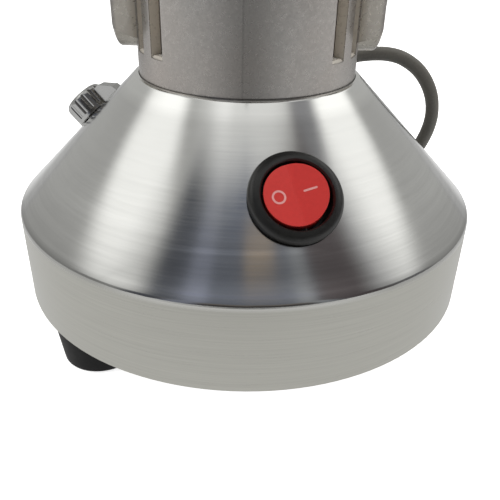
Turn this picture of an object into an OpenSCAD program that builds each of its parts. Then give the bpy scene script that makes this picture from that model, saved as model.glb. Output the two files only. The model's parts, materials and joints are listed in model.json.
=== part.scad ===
// Upright electric coffee grinder: round weighted base, cast motor column, steel bowl with clamped lid.
// Millimetres, +Z up, -Y is the front, the origin is on the table under the middle of the base.

/* [Base] */
// Outer radius of the base
base_r = 66; // [60:1:74]
// Height of the upright band under the cone
band_h = 24; // [20:1:30]
// Wall of the base shell
shell_wall = 2.5; // [2:0.1:3.2]
// Edge radius where the band meets the cone
crease_round = 1.5; // [0.6:0.1:3]
// Radius of the rounded lip around the neck
lip_round = 1.8; // [0.8:0.1:1.9]
// Height of the rubber feet
foot_h = 11; // [8:0.5:16]
// Radius of a foot at the table
foot_bottom_r = 10.4; // [8:0.1:11]
// Radius of a foot under the base
foot_top_r = 11.6; // [9:0.1:12.5]
// Thickness of the sheet base plate
plate_t = 1.5; // [1:0.1:2.5]
// Turn of the whole base against the motor column
base_turn = 13.5; // [0:0.5:25]

/* [Controls] */
// Distance of the switch and the timer inside the edge of the base
control_in = 17.3; // [15:0.1:19]
// Radius of the switch bezel
bezel_r = 11.3; // [11:0.1:12.5]
// Radius of the round rocker
rocker_r = 7.4; // [7:0.1:8]
// Tilt of the rocker to each side
rocker_tilt = 8; // [5:0.5:10]
// Turn of the switch in its hole
switch_turn = 8; // [0:1:20]
// Radius of the timer knob
knob_r = 6.5; // [6:0.1:9]
// Height of the timer knob over the cone
knob_h = 7.4; // [6.5:0.1:12]
// Reach of the knob's pointer from its axis
pointer_reach = 12; // [9:0.5:16]

/* [Motor column] */
// Outer radius of the neck
neck_r = 30; // [28:0.5:33]
// Wall of the neck
neck_wall = 3; // [2.5:0.1:3.5]
// Height of the straight neck above the base
neck_h = 63; // [62:1:80]
// Width of a cooling slot
slot_w = 4.9; // [3:0.1:5.5]
// Height of a cooling slot
slot_h = 46; // [30:1:50]
// Height of the slots' lower ends above the base
slot_rise = 7.3; // [6:0.1:14]
// Height of the brush axis above the base
brush_rise = 20.7; // [20:0.1:24]
// Radius of the side bosses
boss_r = 14.5; // [12:0.1:16]
// Reach of a boss beyond the neck
boss_reach = 4.4; // [3.6:0.1:7]
// Edge radius of a boss
boss_round = 0.8; // [0.4:0.1:3]
// Radius of the flange under the bowl
flange_r = 46; // [44:0.5:47]
// Thickness of the flange
flange_t = 6; // [5:0.5:9]
// Thickness of the upper end shield
shield_t = 6; // [5:0.5:9]
// Radius of the motor shaft
shaft_r = 4; // [3.5:0.1:4.5]

/* [Bowl and lid] */
// Outer radius of the bowl
bowl_r = 48; // [47:0.5:48.5]
// Height of the bowl
bowl_h = 60; // [52:1:75]
// Wall of the bowl
bowl_wall = 1.2; // [0.8:0.1:2]
// Width of the turned-out rim
rim_w = 3; // [2:0.1:3.2]
// Rise of the lid's crown
crown_h = 5; // [2:0.5:10]
// Sheet thickness of the lid
lid_t = 2; // [1.2:0.1:3]
// Reach of the blades from the axis
blade_reach = 43.5; // [36:0.5:44.5]
// Thickness of a blade
blade_t = 2; // [1.5:0.1:3]
// Radius of the clamp's hand knob
hand_knob_r = 8; // [6:0.1:8.3]
// Height of the clamp's hand knob
hand_knob_h = 16; // [12:0.5:20]

/* [Mains lead] */
// Diameter of the lead
cord_d = 5; // [4.6:0.1:5.2]
// Turns in each layer of the stored coil
coil_turns = 3; // [2:1:4]
// Mean radius of the stored coil
coil_r = 27.5; // [25:0.5:32]

/* [Hidden] */
$fn = 64;
eps = 0.01;
half_turn = tan(22.5);
// Clearances: pieces that touch, pieces that slide together, shafts that run, moving bodies
seat_gap = 0.05;
slip = 0.2;
run_gap = 0.04;
clear = 0.4;

// Levels of the base
base_z = foot_h;
cone_sum = base_r + band_h;
inner_sum = cone_sum - shell_wall * sqrt(2);
collar_land = 1;
collar_z = base_z + cone_sum - neck_r - collar_land;
collar_depth = 8;
seat_z = collar_z - collar_depth;
ledge_t = 4;
ledge_r = neck_r - 5.5;
collar_r = neck_r + 3.5;
foot_circle = base_r - foot_top_r;
foot_turns = [for (i = [0:2]) base_turn + 60 + 120 * i];
post_r = 4.5;
foot_screw_r = 2;
foot_recess_r = 4.5;
foot_recess = foot_h * 0.55;
foot_screw_l = 18;

// Round rocker switch and timer on the cone
control_r = base_r - control_in;
switch_r = bezel_r - 1.6;
switch_depth = 14;
well_r = rocker_r + 1;
well_depth = 5;
gasket_top = 0.5;
bezel_h = 2.2;
rocker_axis = -0.8;
rocker_top = 2.6;
trunnion_r = 1;
timer_turn = base_turn - 120;
timer_w = 26;
timer_depth = 17;
timer_top = -shell_wall - 1.8;
bushing_r = 3.5;
timer_nut_r = bushing_r + 1.4;
timer_nut_h = 2.6;
timer_shaft_r = 2.5;
timer_shaft_l = 8;
knob_roof = 1.3;
knob_lift = 0.5;
knob_dome = 2;
knob_flutes = 16;

// Levels of the motor column
bore_r = neck_r - neck_wall;
step_z = seat_z + 7;
slot_z = collar_z + slot_rise;
brush_z = collar_z + brush_rise;
flare_z = collar_z + neck_h;
flange_z = flare_z + flange_r - neck_r;
shield_z = flange_z + flange_t;
floor_z = shield_z + shield_t;
slot_turns = [48.5, 66.2];
sill_bevel = 0.8;
boss_setback = 0.6;
boss_face = neck_r + boss_reach;
boss_back = neck_r - 1.6;
boss_core_r = 10;
housing_screw_r = 2;
screw_head_r = 3.4;
screw_head_h = 3;
screw_in = 5;
head_sink = 3;
sunk_head_h = head_sink - slip;
housing_screw_turns = [45, 135, 225, 315];
housing_screw_circle = (ledge_r + neck_r) / 2;
shield_screw_circle = flange_r - 6;

// Bearings of the common 8 x 22 x 7 size
bearing_r = 11;
bearing_w = 7;
bracket_t = 4;
bracket_hub_r = bearing_r + 3;
lower_bearing_z = step_z + 1;
upper_bearing_z = shield_z + 1;
seal_r = 8;

// Brush gear
holder_r = 7.1;
holder_end = boss_face - 4;
comm_r = 11.5;
comm_h = 19;
comm_bars = 24;
riser_h = 1.6;
brush_w = 6.3;
brush_t = 8;
brush_l = 11;
brush_start = comm_r + clear;
frame_r = bore_r - clear;
frame_in_r = 21;
cap_r = 7.7;
cap_plug_r = holder_r - 0.1;
spring_wire = 0.8;
spring_r = 2.2;

// Motor core
stack_z = brush_z + 16.3;
motor_room = 34;
stack_h = neck_h - motor_room;
stack_r = bore_r - slip;
rotor_r = 16.8;
pole_r = rotor_r + 0.5;
pocket_r = stack_r - 3.8;
end_turn_h = 6;
rotor_slots = 12;
slot_circle = rotor_r - 3.6;
wire_r = 1.8;
fan_z = stack_z + stack_h + end_turn_h + 2;
fan_r = bore_r - 3;
fan_h = 6;
fan_blades = 9;

// Bowl, blades and lid
floor_t = 1.5;
shield_boss_r = 16;
shield_boss_h = 5;
boss_top = floor_z + shield_boss_h;
shoulder_z = boss_top + 0.8;
blade_z = shoulder_z + 2.4;
blade_gap = 9;
blade_root_w = 15;
blade_tip_w = 11;
lower_tip_l = 13;
upper_tip_l = 15;
upper_blade_z = blade_z + blade_t + blade_gap;
nut_z = upper_blade_z + blade_t;
nut_h = 8;
bowl_screw_circle = 30;
bowl_screw_r = 2;
flat_head_h = 1.6;
bowl_screw_turns = [0, 90, 180, 270];
rim_z = floor_z + bowl_h;
rim_r = bowl_r + rim_w;
rim_t = 1.5;
gasket_h = 2;
lid_z = rim_z + clear + gasket_h;
lid_r = rim_r;
lid_flat = 9;
strap_lap = lid_flat - 1.2;

// Hinge at the back and clamp at the front
hinge_y = bowl_r + 10;
hinge_z = rim_z;
hinge_pin_r = 2;
knuckle_r = 4.2;
knuckle_w = 16;
ear_t = 3;
hinge_drop = 26;
pad_t = 6;
lock_y = -(bowl_r + 9);
lock_z = rim_z - 17;
lock_pin_r = 2;
bolt_r = 3;
eye_r = 4;
eye_w = 6.8;
fork_t = 3.2;
fork_slot = 2 * bolt_r + 2 * clear;
knob_start = lid_z + lid_t + fork_t + 0.6 - lock_z;
bolt_l = knob_start + hand_knob_h - 3;

// Mains lead: elbow gland behind the neck, free stretch, coil on the table behind the base
cord_r = cord_d / 2;
gland_turn = 172;
gland_circle = (base_r + neck_r) / 2 - 2.5;
gland_stem = 11;
gland_relief = 28;
gland_flange_r = 8;
gland_stem_r = 6;
gland_ball_r = 6.4;
gland_thread_r = 5;
gland_nut_r = gland_thread_r + 2.2;
gland_seat = [gland_circle * sin(gland_turn), -gland_circle * cos(gland_turn), cone_z(gland_circle)];
gland_dir = [sin(gland_turn) * sqrt(0.5), -cos(gland_turn) * sqrt(0.5), sqrt(0.5)];
gland_elbow = gland_seat + gland_stem * gland_dir;
gland_tip = gland_elbow + [gland_relief, 0, 0];
coil_pitch = cord_d + 0.6;
coil_layer = cord_d + 0.5;
coil_lift = 1;
coil_at = [-14, base_r + 52];
coil_in_r = coil_r - coil_turns * coil_pitch / 2;
coil_z = cord_r + coil_lift;
coil_rings = 24;
coil_sweep = 360 * 2 * coil_turns + 180;
cord_straight = 3;
// Points of the free stretch, from beside the base's rear right down to the coil
cord_corner = [base_r + 4.4, base_r, 0];
cord_offsets = [
    [-29.4, -13, 63.8], [-24.4, -13, 64.3], [-19.4, -13, 64.2], [-14.4, -13, 63], [-9.4, -13, 60.2],
    [-5.4, -13, 56.4], [-2.2, -13, 51.4], [-0.4, -13, 46], [0, -13, 40], [-1.2, -12.6, 33.5],
    [-3.8, -11.4, 26.6], [-7.8, -8.8, 19.6], [-13, -4.8, 13.4], [-19.4, 0.4, 8.4], [-27.4, 6.2, 5.2],
    [-36.4, 11.4, 3.8], [-46.4, 14.8, 3.5], [-58.4, 16, 3.5]
];
cord_route = [for (p = cord_offsets) cord_corner + p];
cord_steps = 2;
cord_sides = 10;
coil_sides = 6;
plug_relief = 28;
plug_l = 34;
plug_w = 26;
plug_pin_l = 18;
plug_pin_gap = 12.7;

// Height of the cone's surface at a distance from the axis
function cone_z(r) = base_z + cone_sum - r;

// Points of an arc about a centre in a profile
function arc(c, r, a0, a1, n = 8) =
    [for (i = [0:n]) c + r * [cos(a0 + (a1 - a0) * i / n), sin(a0 + (a1 - a0) * i / n)]];

function unit(v) = v / norm(v);

// Smooth curve through a list of points, each span cut in steps
function spline_point(p, i, t) =
    let (n = len(p) - 1,
         a = p[max(i - 1, 0)], b = p[i], c = p[min(i + 1, n)], d = p[min(i + 2, n)])
    0.5 * (2 * b + (c - a) * t + (2 * a - 5 * b + 4 * c - d) * t * t
           + (3 * b - a - 3 * c + d) * t * t * t);
function spline(p, steps) =
    concat([for (i = [0:len(p) - 2]) for (k = [0:steps - 1]) spline_point(p, i, k / steps)],
           [p[len(p) - 1]]);

// Tube along points: flat rings square to the path, closed by a fan at each end
function path_dir(p, i) = unit(p[min(i + 1, len(p) - 1)] - p[max(i - 1, 0)]);
module tube(p, r, sides, ref) {
    n = len(p);
    rings = [for (i = [0:n - 1])
        let (t = path_dir(p, i), u = unit(cross(ref, t)), v = cross(t, u))
        for (k = [0:sides - 1]) p[i] + r * (cos(360 * k / sides) * u + sin(360 * k / sides) * v)];
    walls = [for (i = [0:n - 2]) for (k = [0:sides - 1])
        let (a = i * sides + k, b = i * sides + (k + 1) % sides, c = a + sides, d = b + sides)
        each [[a, c, b], [b, c, d]]];
    start = [for (k = [1:sides - 2]) [0, k, k + 1]];
    last = (n - 1) * sides;
    end = [for (k = [1:sides - 2]) [last, last + k + 1, last + k]];
    polyhedron(rings, concat(walls, start, end), convexity = 10);
}

// Stored coil: spirals in on the table, climbs a layer where it reverses and spirals out on top
function ramp(t) = let (x = min(max(t, 0), 1)) x * x * (3 - 2 * x);
function coil_radius(s) = coil_in_r + (abs(s - coil_sweep / 2) - 90) / 360 * coil_pitch;
function coil_point(s) =
    let (r = coil_radius(s), a = -90 - s)
    [coil_at[0] + r * cos(a), coil_at[1] + r * sin(a),
     coil_z + coil_layer * ramp((s - coil_sweep / 2 + 90) / 180)];
coil_count = coil_rings * coil_sweep / 360;
coil_turn_points = [for (i = [0:coil_count]) coil_point(coil_sweep * i / coil_count)];
coil_first = coil_turn_points[0];
coil_last = coil_turn_points[coil_count];
coil_points = concat([coil_first + [cord_d, 0, 0]], coil_turn_points, [coil_last + [cord_d, 0, 0]]);
coil_gap = min([for (i = [0:coil_count]) for (j = [i + 8:1:coil_count])
    norm(coil_turn_points[i] - coil_turn_points[j])]) - cord_d;
echo(coil_gap = coil_gap);
plug_start = coil_points[len(coil_points) - 1];
plug_r = plug_start[2] - seat_gap;

// Helper shapes
module ring(r_out, r_in, h) {
    difference() {
        cylinder(r = r_out, h = h);
        translate([0, 0, -eps]) cylinder(r = r_in, h = h + 2 * eps);
    }
}
module on_cone(turn, r) {
    rotate([0, 0, turn]) translate([0, -r, cone_z(r)]) rotate([45, 0, 0]) children();
}
module cone_body(grow) {
    h = cone_sum + grow * sqrt(2);
    translate([0, 0, base_z]) cylinder(r1 = h, r2 = 0, h = h, $fn = 256);
}
module round_each(turns, r, z) {
    for (a = turns) rotate([0, 0, a]) translate([0, -r, z]) children();
}
module along_x(side, x) {
    mirror([side < 0 ? 1 : 0, 0, 0]) translate([x, 0, brush_z]) rotate([0, 90, 0]) children();
}
module cap_screw(r, l, head_r, head_h) {
    difference() {
        union() {
            translate([0, 0, -head_h / 2]) cylinder(r = r, h = l + head_h / 2);
            translate([0, 0, -head_h]) cylinder(r = head_r, h = head_h - seat_gap);
        }
        translate([0, 0, -head_h - eps]) cylinder(r = head_r * 0.5, h = head_h * 0.6, $fn = 6);
    }
}
module sector(r_out, r_in, a0, a1, z, h) {
    steps = 6;
    far = r_out * 1.4;
    rim = [for (i = [0:steps]) let (a = a0 + (a1 - a0) * i / steps) far * [cos(a), sin(a)]];
    translate([0, 0, z]) linear_extrude(h) intersection() {
        difference() {
            circle(r = r_out);
            circle(r = r_in);
        }
        polygon(concat([[0, 0]], rim));
    }
}

// Base
module base_shell() {
    band_top = base_z + band_h;
    corner_r = cone_sum - (collar_z - base_z);
    outer = concat(
        [[base_r, base_z]],
        arc([base_r - crease_round, band_top - crease_round * half_turn], crease_round, 0, 45, 4),
        arc([corner_r - lip_round * half_turn, collar_z - lip_round], lip_round, 45, 90, 6));
    inner = [
        [neck_r + slip, collar_z], [neck_r + slip, seat_z], [ledge_r, seat_z],
        [ledge_r, seat_z - ledge_t], [collar_r, seat_z - ledge_t],
        [collar_r, base_z + inner_sum - collar_r],
        [base_r - shell_wall, base_z + inner_sum - base_r + shell_wall], [base_r - shell_wall, base_z]];
    color("silver") difference() {
        union() {
            rotate_extrude($fn = 128) polygon(concat(outer, inner));
            intersection() {
                round_each(foot_turns, foot_circle, base_z + plate_t)
                    cylinder(r = post_r, h = cone_sum);
                cone_body(-shell_wall / 2);
            }
        }
        round_each(foot_turns, foot_circle, base_z) cylinder(r = foot_screw_r + seat_gap, h = 14);
        on_cone(base_turn, control_r) translate([0, 0, -10]) cylinder(r = switch_r + slip, h = 20);
        on_cone(timer_turn, control_r) translate([0, 0, -10]) cylinder(r = bushing_r + slip, h = 20);
        on_cone(gland_turn, gland_circle) translate([0, 0, -10]) cylinder(r = gland_thread_r + slip, h = 20);
        round_each(housing_screw_turns, housing_screw_circle, seat_z - ledge_t - 1)
            cylinder(r = housing_screw_r + slip, h = ledge_t + 2);
    }
}

module base_plate() {
    color("gray") difference() {
        translate([0, 0, base_z]) cylinder(r = base_r - shell_wall - slip, h = plate_t, $fn = 128);
        round_each(foot_turns, foot_circle, base_z - 1) cylinder(r = foot_screw_r + slip, h = plate_t + 2);
    }
}

module rubber_feet() {
    color("#222222") round_each(foot_turns, foot_circle, 0) rotate_extrude() polygon(concat(
        [[foot_recess_r, 0]],
        arc([foot_bottom_r - 1, 1], 1, -90, 0, 4),
        [[foot_top_r, foot_h], [foot_screw_r + slip, foot_h],
         [foot_screw_r + slip, foot_recess], [foot_recess_r, foot_recess]]));
}

module foot_screws() {
    head_h = 2.4;
    color("silver") round_each(foot_turns, foot_circle, foot_recess)
        cap_screw(foot_screw_r, foot_screw_l - foot_recess, foot_recess_r - slip, head_h);
}

// Motor column
module boss_pad(r, face, back, edge) {
    translate([0, 0, back]) rotate_extrude() polygon(concat(
        [[0, 0], [r, 0]], arc([r - edge, face - back - edge], edge, 0, 90, 8), [[0, face - back]]));
}
module each_quarter() {
    for (side = [0, 1]) mirror([side, 0, 0]) for (turn = [0, 180]) rotate([0, 0, turn]) children();
}
module slot_space() {
    out = -neck_r - 1;
    back = -bore_r + 2;
    rotate([90, 0, 90]) linear_extrude(slot_w, center = true) polygon([
        [back, slot_z], [-neck_r + sill_bevel, slot_z], [out, slot_z - sill_bevel - 1],
        [out, slot_z + slot_h], [back, slot_z + slot_h]]);
}
module motor_housing() {
    fillet = 6;
    flange_edge = 1.5;
    profile = concat(
        [[neck_r, seat_z]],
        arc([neck_r + fillet, flare_z - fillet * half_turn], fillet, 180, 135, 5),
        [[flange_r, flange_z]],
        arc([flange_r - flange_edge, shield_z - flange_edge], flange_edge, 0, 90, 4),
        [[bore_r, shield_z], [bore_r, step_z], [ledge_r, step_z], [ledge_r, seat_z]]);
    color("darkgray") difference() {
        union() {
            rotate_extrude($fn = 128) polygon(profile);
            difference() {
                for (side = [-1, 1]) {
                    along_x(side, 0) boss_pad(boss_r, boss_face, boss_back, boss_round);
                    along_x(side, bore_r - 2) cylinder(r = boss_core_r, h = boss_back - bore_r + 3);
                }
                translate([0, 0, step_z]) cylinder(r = bore_r, h = shield_z - step_z);
                each_quarter() rotate([0, 0, slot_turns[1]]) translate([-boss_r, -boss_face - boss_r, step_z])
                    cube([boss_r + slot_w / 2 + boss_setback, boss_face + boss_r, shield_z - step_z]);
            }
        }
        for (side = [-1, 1]) along_x(side, 0) cylinder(r = holder_r + slip, h = boss_face + 1);
        each_quarter() for (a = slot_turns) rotate([0, 0, a]) slot_space();
        round_each(housing_screw_turns, housing_screw_circle, seat_z - 1)
            cylinder(r = housing_screw_r + seat_gap, h = 6.5);
        round_each(housing_screw_turns, shield_screw_circle, shield_z - 9)
            cylinder(r = housing_screw_r + seat_gap, h = 10);
    }
}

module housing_screws() {
    color("silver") round_each(housing_screw_turns, housing_screw_circle, seat_z - ledge_t)
        cap_screw(housing_screw_r, ledge_t + screw_in, screw_head_r, screw_head_h);
}

module stator_core() {
    color("dimgray") translate([0, 0, stack_z]) linear_extrude(stack_h) difference() {
        circle(r = stack_r);
        circle(r = pole_r);
        for (a = [0, 180]) rotate(a) intersection() {
            circle(r = pocket_r);
            polygon([[0, 0], bore_r * [1.5, -1.28], bore_r * [1.5, 1.28]]);
        }
    }
}

module field_windings() {
    coil_in = pole_r + 0.7;
    coil_out = pocket_r - 0.3;
    low = stack_z - end_turn_h;
    high = stack_z + stack_h + end_turn_h;
    color("peru") for (side = [0, 180]) {
        sector(coil_out, coil_in, side + 4, side + 36, low, high - low);
        sector(coil_out, coil_in, side + 144, side + 176, low, high - low);
        sector(coil_out, coil_in, side + 35, side + 145, low, end_turn_h - slip);
        sector(coil_out, coil_in, side + 35, side + 145, stack_z + stack_h + slip, end_turn_h - slip);
    }
}

module lower_bracket() {
    color("darkgray") difference() {
        union() {
            translate([0, 0, step_z]) cylinder(r = bore_r - seat_gap, h = bracket_t);
            translate([0, 0, step_z]) cylinder(r = bracket_hub_r, h = bearing_w + 2);
        }
        translate([0, 0, lower_bearing_z]) cylinder(r = bearing_r + seat_gap, h = bearing_w + 2);
        translate([0, 0, step_z - 1]) cylinder(r = bearing_r - 3, h = bearing_w);
        for (a = [45:90:315]) rotate([0, 0, a]) translate([18.5, 0, step_z - 1])
            cylinder(r = 3.2, h = bracket_t + 2);
    }
}

module bearing(z) {
    groove = 0.6;
    land = bearing_r - 2.4;
    core = shaft_r + 2.4;
    translate([0, 0, z]) rotate_extrude() polygon([
        [shaft_r + run_gap, 0], [core, 0], [core, groove], [land, groove], [land, 0], [bearing_r, 0],
        [bearing_r, bearing_w], [land, bearing_w], [land, bearing_w - groove],
        [core, bearing_w - groove], [core, bearing_w], [shaft_r + run_gap, bearing_w]]);
}
module lower_bearing() {
    color("lightgray") bearing(lower_bearing_z);
}
module upper_bearing() {
    color("lightgray") bearing(upper_bearing_z);
}

module brush_frame() {
    low = step_z + bracket_t;
    thick = brush_z + holder_r + 1.4 - low;
    color("saddlebrown") difference() {
        translate([0, 0, low]) rotate_extrude() polygon([
            [frame_in_r, 0], [frame_r, 0], [frame_r, stack_z - low], [frame_r - 1.4, stack_z - low],
            [frame_r - 1.4, thick], [frame_in_r, thick]]);
        for (side = [-1, 1]) along_x(side, 0) cylinder(r = holder_r + slip, h = neck_r);
    }
}

module brush_holder(side) {
    color("goldenrod") difference() {
        along_x(side, comm_r + 2.5) cylinder(r = holder_r, h = holder_end - comm_r - 2.5);
        along_x(side, comm_r) translate([-brush_t / 2 - slip / 2, -brush_w / 2 - slip / 2, 0])
            cube([brush_t + slip, brush_w + slip, holder_end]);
    }
}
module brush_holder_left() {
    brush_holder(-1);
}
module brush_holder_right() {
    brush_holder(1);
}

module carbon_brush(side) {
    color("#333333") difference() {
        along_x(side, comm_r - 2) translate([-brush_t / 2, -brush_w / 2, 0])
            cube([brush_t, brush_w, brush_l + 2 + clear]);
        translate([0, 0, brush_z - brush_t]) cylinder(r = brush_start, h = 2 * brush_t);
    }
}
module carbon_brush_left() {
    carbon_brush(-1);
}
module carbon_brush_right() {
    carbon_brush(1);
}

module brush_spring(side) {
    start = comm_r + clear + brush_l + spring_wire / 2 + seat_gap;
    end = holder_end - spring_wire / 2 - seat_gap;
    turns = 4;
    count = 8 * turns;
    points = [for (i = [0:count])
        [start + (end - start) * i / count, spring_r * cos(360 * i / 8), spring_r * sin(360 * i / 8)]];
    color("lightgray") mirror([side < 0 ? 1 : 0, 0, 0]) translate([0, 0, brush_z])
        tube(points, spring_wire / 2, 6, [1, 0, 0]);
}
module brush_spring_left() {
    brush_spring(-1);
}
module brush_spring_right() {
    brush_spring(1);
}

module brush_cap(side) {
    head = 1;
    color("#222222") difference() {
        union() {
            along_x(side, holder_end) cylinder(r = cap_plug_r, h = boss_face - holder_end + eps);
            along_x(side, boss_face) cylinder(r = cap_r, h = head);
        }
        along_x(side, boss_face + 0.3) translate([-cap_r, -0.8, 0]) cube([2 * cap_r, 1.6, head]);
    }
}
module brush_cap_left() {
    brush_cap(-1);
}
module brush_cap_right() {
    brush_cap(1);
}

module end_shield() {
    seal_z = upper_bearing_z + bearing_w;
    color("darkgray") difference() {
        union() {
            translate([0, 0, shield_z]) cylinder(r = flange_r, h = shield_t, $fn = 128);
            translate([0, 0, shield_z]) cylinder(r = shield_boss_r, h = boss_top - shield_z);
        }
        translate([0, 0, shield_z - 1]) cylinder(r = bearing_r + seat_gap, h = bearing_w + 2);
        translate([0, 0, shield_z]) cylinder(r = shaft_r + 1.5, h = boss_top);
        translate([0, 0, seal_z + 1]) cylinder(r = seal_r + seat_gap, h = boss_top);
        round_each(housing_screw_turns, shield_screw_circle, shield_z - 1) {
            cylinder(r = housing_screw_r + slip, h = shield_t + 2);
            translate([0, 0, 1 + shield_t - head_sink]) cylinder(r = screw_head_r + slip, h = head_sink + 1);
        }
        round_each(bowl_screw_turns, bowl_screw_circle, shield_z - 1)
            cylinder(r = bowl_screw_r + seat_gap, h = shield_t + 2);
    }
}

module end_shield_screws() {
    color("silver") round_each(housing_screw_turns, shield_screw_circle, floor_z - head_sink)
        mirror([0, 0, 1]) cap_screw(housing_screw_r, shield_t + screw_in, screw_head_r, sunk_head_h);
}

module shaft_seal() {
    z = upper_bearing_z + bearing_w + 1;
    color("#333333") translate([0, 0, z]) ring(seal_r, shaft_r + run_gap, boss_top - z);
}

// Bowl
module bowl() {
    fillet = 5;
    fillet_in = fillet - bowl_wall;
    in_r = bowl_r - bowl_wall;
    profile = concat(
        [[shield_boss_r + slip, floor_z]],
        arc([bowl_r - fillet, floor_z + fillet], fillet, -90, 0, 6),
        [[bowl_r, rim_z - rim_t], [rim_r, rim_z - rim_t], [rim_r, rim_z], [in_r, rim_z]],
        arc([in_r - fillet_in, floor_z + floor_t + fillet_in], fillet_in, 0, -90, 6),
        [[shield_boss_r + slip, floor_z + floor_t]]);
    color("lightsteelblue") difference() {
        rotate_extrude($fn = 128) polygon(profile);
        round_each(bowl_screw_turns, bowl_screw_circle, floor_z - 1)
            cylinder(r = bowl_screw_r + slip, h = floor_t + 2);
    }
}

module bowl_screws() {
    color("silver") round_each(bowl_screw_turns, bowl_screw_circle, floor_z + floor_t)
        mirror([0, 0, 1]) cap_screw(bowl_screw_r, shield_t, screw_head_r, flat_head_h);
}

module hinge_bracket() {
    low = rim_z - hinge_drop;
    width = knuckle_w + 2 * clear + 2 * ear_t;
    color("silver") difference() {
        union() {
            translate([-width / 2, bowl_r - pad_t / 2, low]) cube([width, pad_t + 0.5, hinge_drop - pad_t]);
            for (x = [-width / 2, width / 2 - ear_t]) translate([x, 0, 0]) {
                translate([0, bowl_r, low]) cube([ear_t, hinge_y - bowl_r, hinge_z - low]);
                translate([0, hinge_y, hinge_z]) rotate([0, 90, 0]) cylinder(r = knuckle_r, h = ear_t);
            }
        }
        translate([0, 0, low - 1]) cylinder(r = bowl_r + seat_gap, h = hinge_drop + 2, $fn = 128);
        translate([0, 0, rim_z - rim_t - clear]) cylinder(r = rim_r + clear, h = 3 * knuckle_r, $fn = 128);
        translate([-width, hinge_y, hinge_z]) rotate([0, 90, 0])
            cylinder(r = hinge_pin_r + seat_gap, h = 2 * width);
    }
}

module hinge_pin() {
    width = knuckle_w + 2 * clear + 2 * ear_t;
    color("silver") translate([-width / 2 - 1.5, hinge_y, hinge_z]) rotate([0, 90, 0]) {
        cylinder(r = hinge_pin_r, h = width + 1.5);
        cylinder(r = hinge_pin_r + 1.2, h = 1.5);
    }
}

module lock_bracket() {
    low = lock_z - 2 * eye_r;
    high = lock_z + eye_r + ear_t;
    width = eye_w + 2 * clear + 2 * ear_t;
    back = lock_y + eye_r + clear;
    color("silver") difference() {
        union() {
            translate([-width / 2, back, low]) cube([width, -bowl_r + ear_t - back, high - low]);
            for (x = [-width / 2, width / 2 - ear_t]) translate([x, 0, 0]) {
                translate([0, lock_y, lock_z - eye_r]) cube([ear_t, back - lock_y + eps, 2 * eye_r]);
                translate([0, lock_y, lock_z]) rotate([0, 90, 0]) cylinder(r = eye_r, h = ear_t);
            }
        }
        translate([0, 0, low - 1]) cylinder(r = bowl_r + seat_gap, h = high - low + 2, $fn = 128);
        translate([-width, lock_y, lock_z]) rotate([0, 90, 0])
            cylinder(r = lock_pin_r + seat_gap, h = 2 * width);
    }
}

module lock_pin() {
    width = eye_w + 2 * clear + 2 * ear_t;
    color("silver") translate([-width / 2 - 1.5, lock_y, lock_z]) rotate([0, 90, 0]) {
        cylinder(r = lock_pin_r, h = width + 1.5);
        cylinder(r = lock_pin_r + 1.2, h = 1.5);
    }
}

// Round rocker switch
module in_switch() {
    on_cone(base_turn, control_r) rotate([0, 0, switch_turn]) children();
}

module switch_gasket() {
    color("#333333") difference() {
        in_switch() translate([0, 0, -4]) ring(bezel_r - 0.3, switch_r + slip, 4 + gasket_top);
        cone_body(seat_gap);
    }
}

module switch_body() {
    lip = 0.4;
    crown_r = well_r + lip;
    crown = [for (a = [0:15:90])
        [crown_r + (bezel_r - crown_r) * cos(a), gasket_top + lip + (bezel_h - lip) * sin(a)]];
    color("#333333") in_switch() difference() {
        rotate_extrude() polygon(concat(
            [[0, -switch_depth], [switch_r, -switch_depth], [switch_r, gasket_top], [bezel_r, gasket_top]],
            crown,
            [[well_r, gasket_top + bezel_h - lip], [well_r, -well_depth], [0, -well_depth]]));
        translate([0, 0, rocker_axis]) rotate([90, 0, 0])
            cylinder(r = trunnion_r + run_gap, h = 2 * switch_r + 1, center = true);
    }
}

module switch_terminals() {
    blade = [0.8, 4.8, 8];
    color("gold") in_switch() for (x = [-5, 5])
        translate([x - blade[0] / 2, -blade[1] / 2, -switch_depth - blade[2]]) cube(blade);
}

module switch_rocker() {
    under = 3;
    rise = rocker_r * tan(rocker_tilt);
    edge_z = rocker_top + 2 * rise;
    color("red") in_switch() translate([0, 0, rocker_axis]) rotate([0, -rocker_tilt, 0]) {
        intersection() {
            translate([0, 0, -under]) cylinder(r = rocker_r, h = under + edge_z);
            rotate([90, 0, 0]) linear_extrude(4 * rocker_r, center = true) polygon([
                [-rocker_r, 0], [-2, -under], [2, -under], [rocker_r, 0],
                [rocker_r, edge_z], [0, rocker_top + rise], [-rocker_r, edge_z]]);
        }
        rotate([90, 0, 0]) cylinder(r = trunnion_r, h = 2 * switch_r - 0.6, center = true);
    }
}

// Timer with its pointer knob
module in_timer() {
    on_cone(timer_turn, control_r) children();
}

module timer_body() {
    color("#444444") in_timer() difference() {
        union() {
            translate([-timer_w / 2, -timer_w / 2, timer_top - timer_depth])
                cube([timer_w, timer_w, timer_depth]);
            translate([0, 0, timer_top - 1]) cylinder(r = bushing_r, h = timer_nut_h + 1 - timer_top);
        }
        translate([0, 0, timer_top - timer_shaft_l]) cylinder(r = timer_shaft_r + run_gap, h = 20);
    }
}

module timer_nut() {
    color("silver") in_timer() difference() {
        cylinder(r = timer_nut_r, h = timer_nut_h, $fn = 6);
        translate([0, 0, -1]) cylinder(r = bushing_r + seat_gap, h = timer_nut_h + 2);
    }
}

module timer_shaft() {
    low = timer_top - timer_shaft_l + clear;
    color("silver") in_timer() translate([0, 0, low])
        cylinder(r = timer_shaft_r, h = knob_h - knob_roof - seat_gap - low);
}

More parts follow.
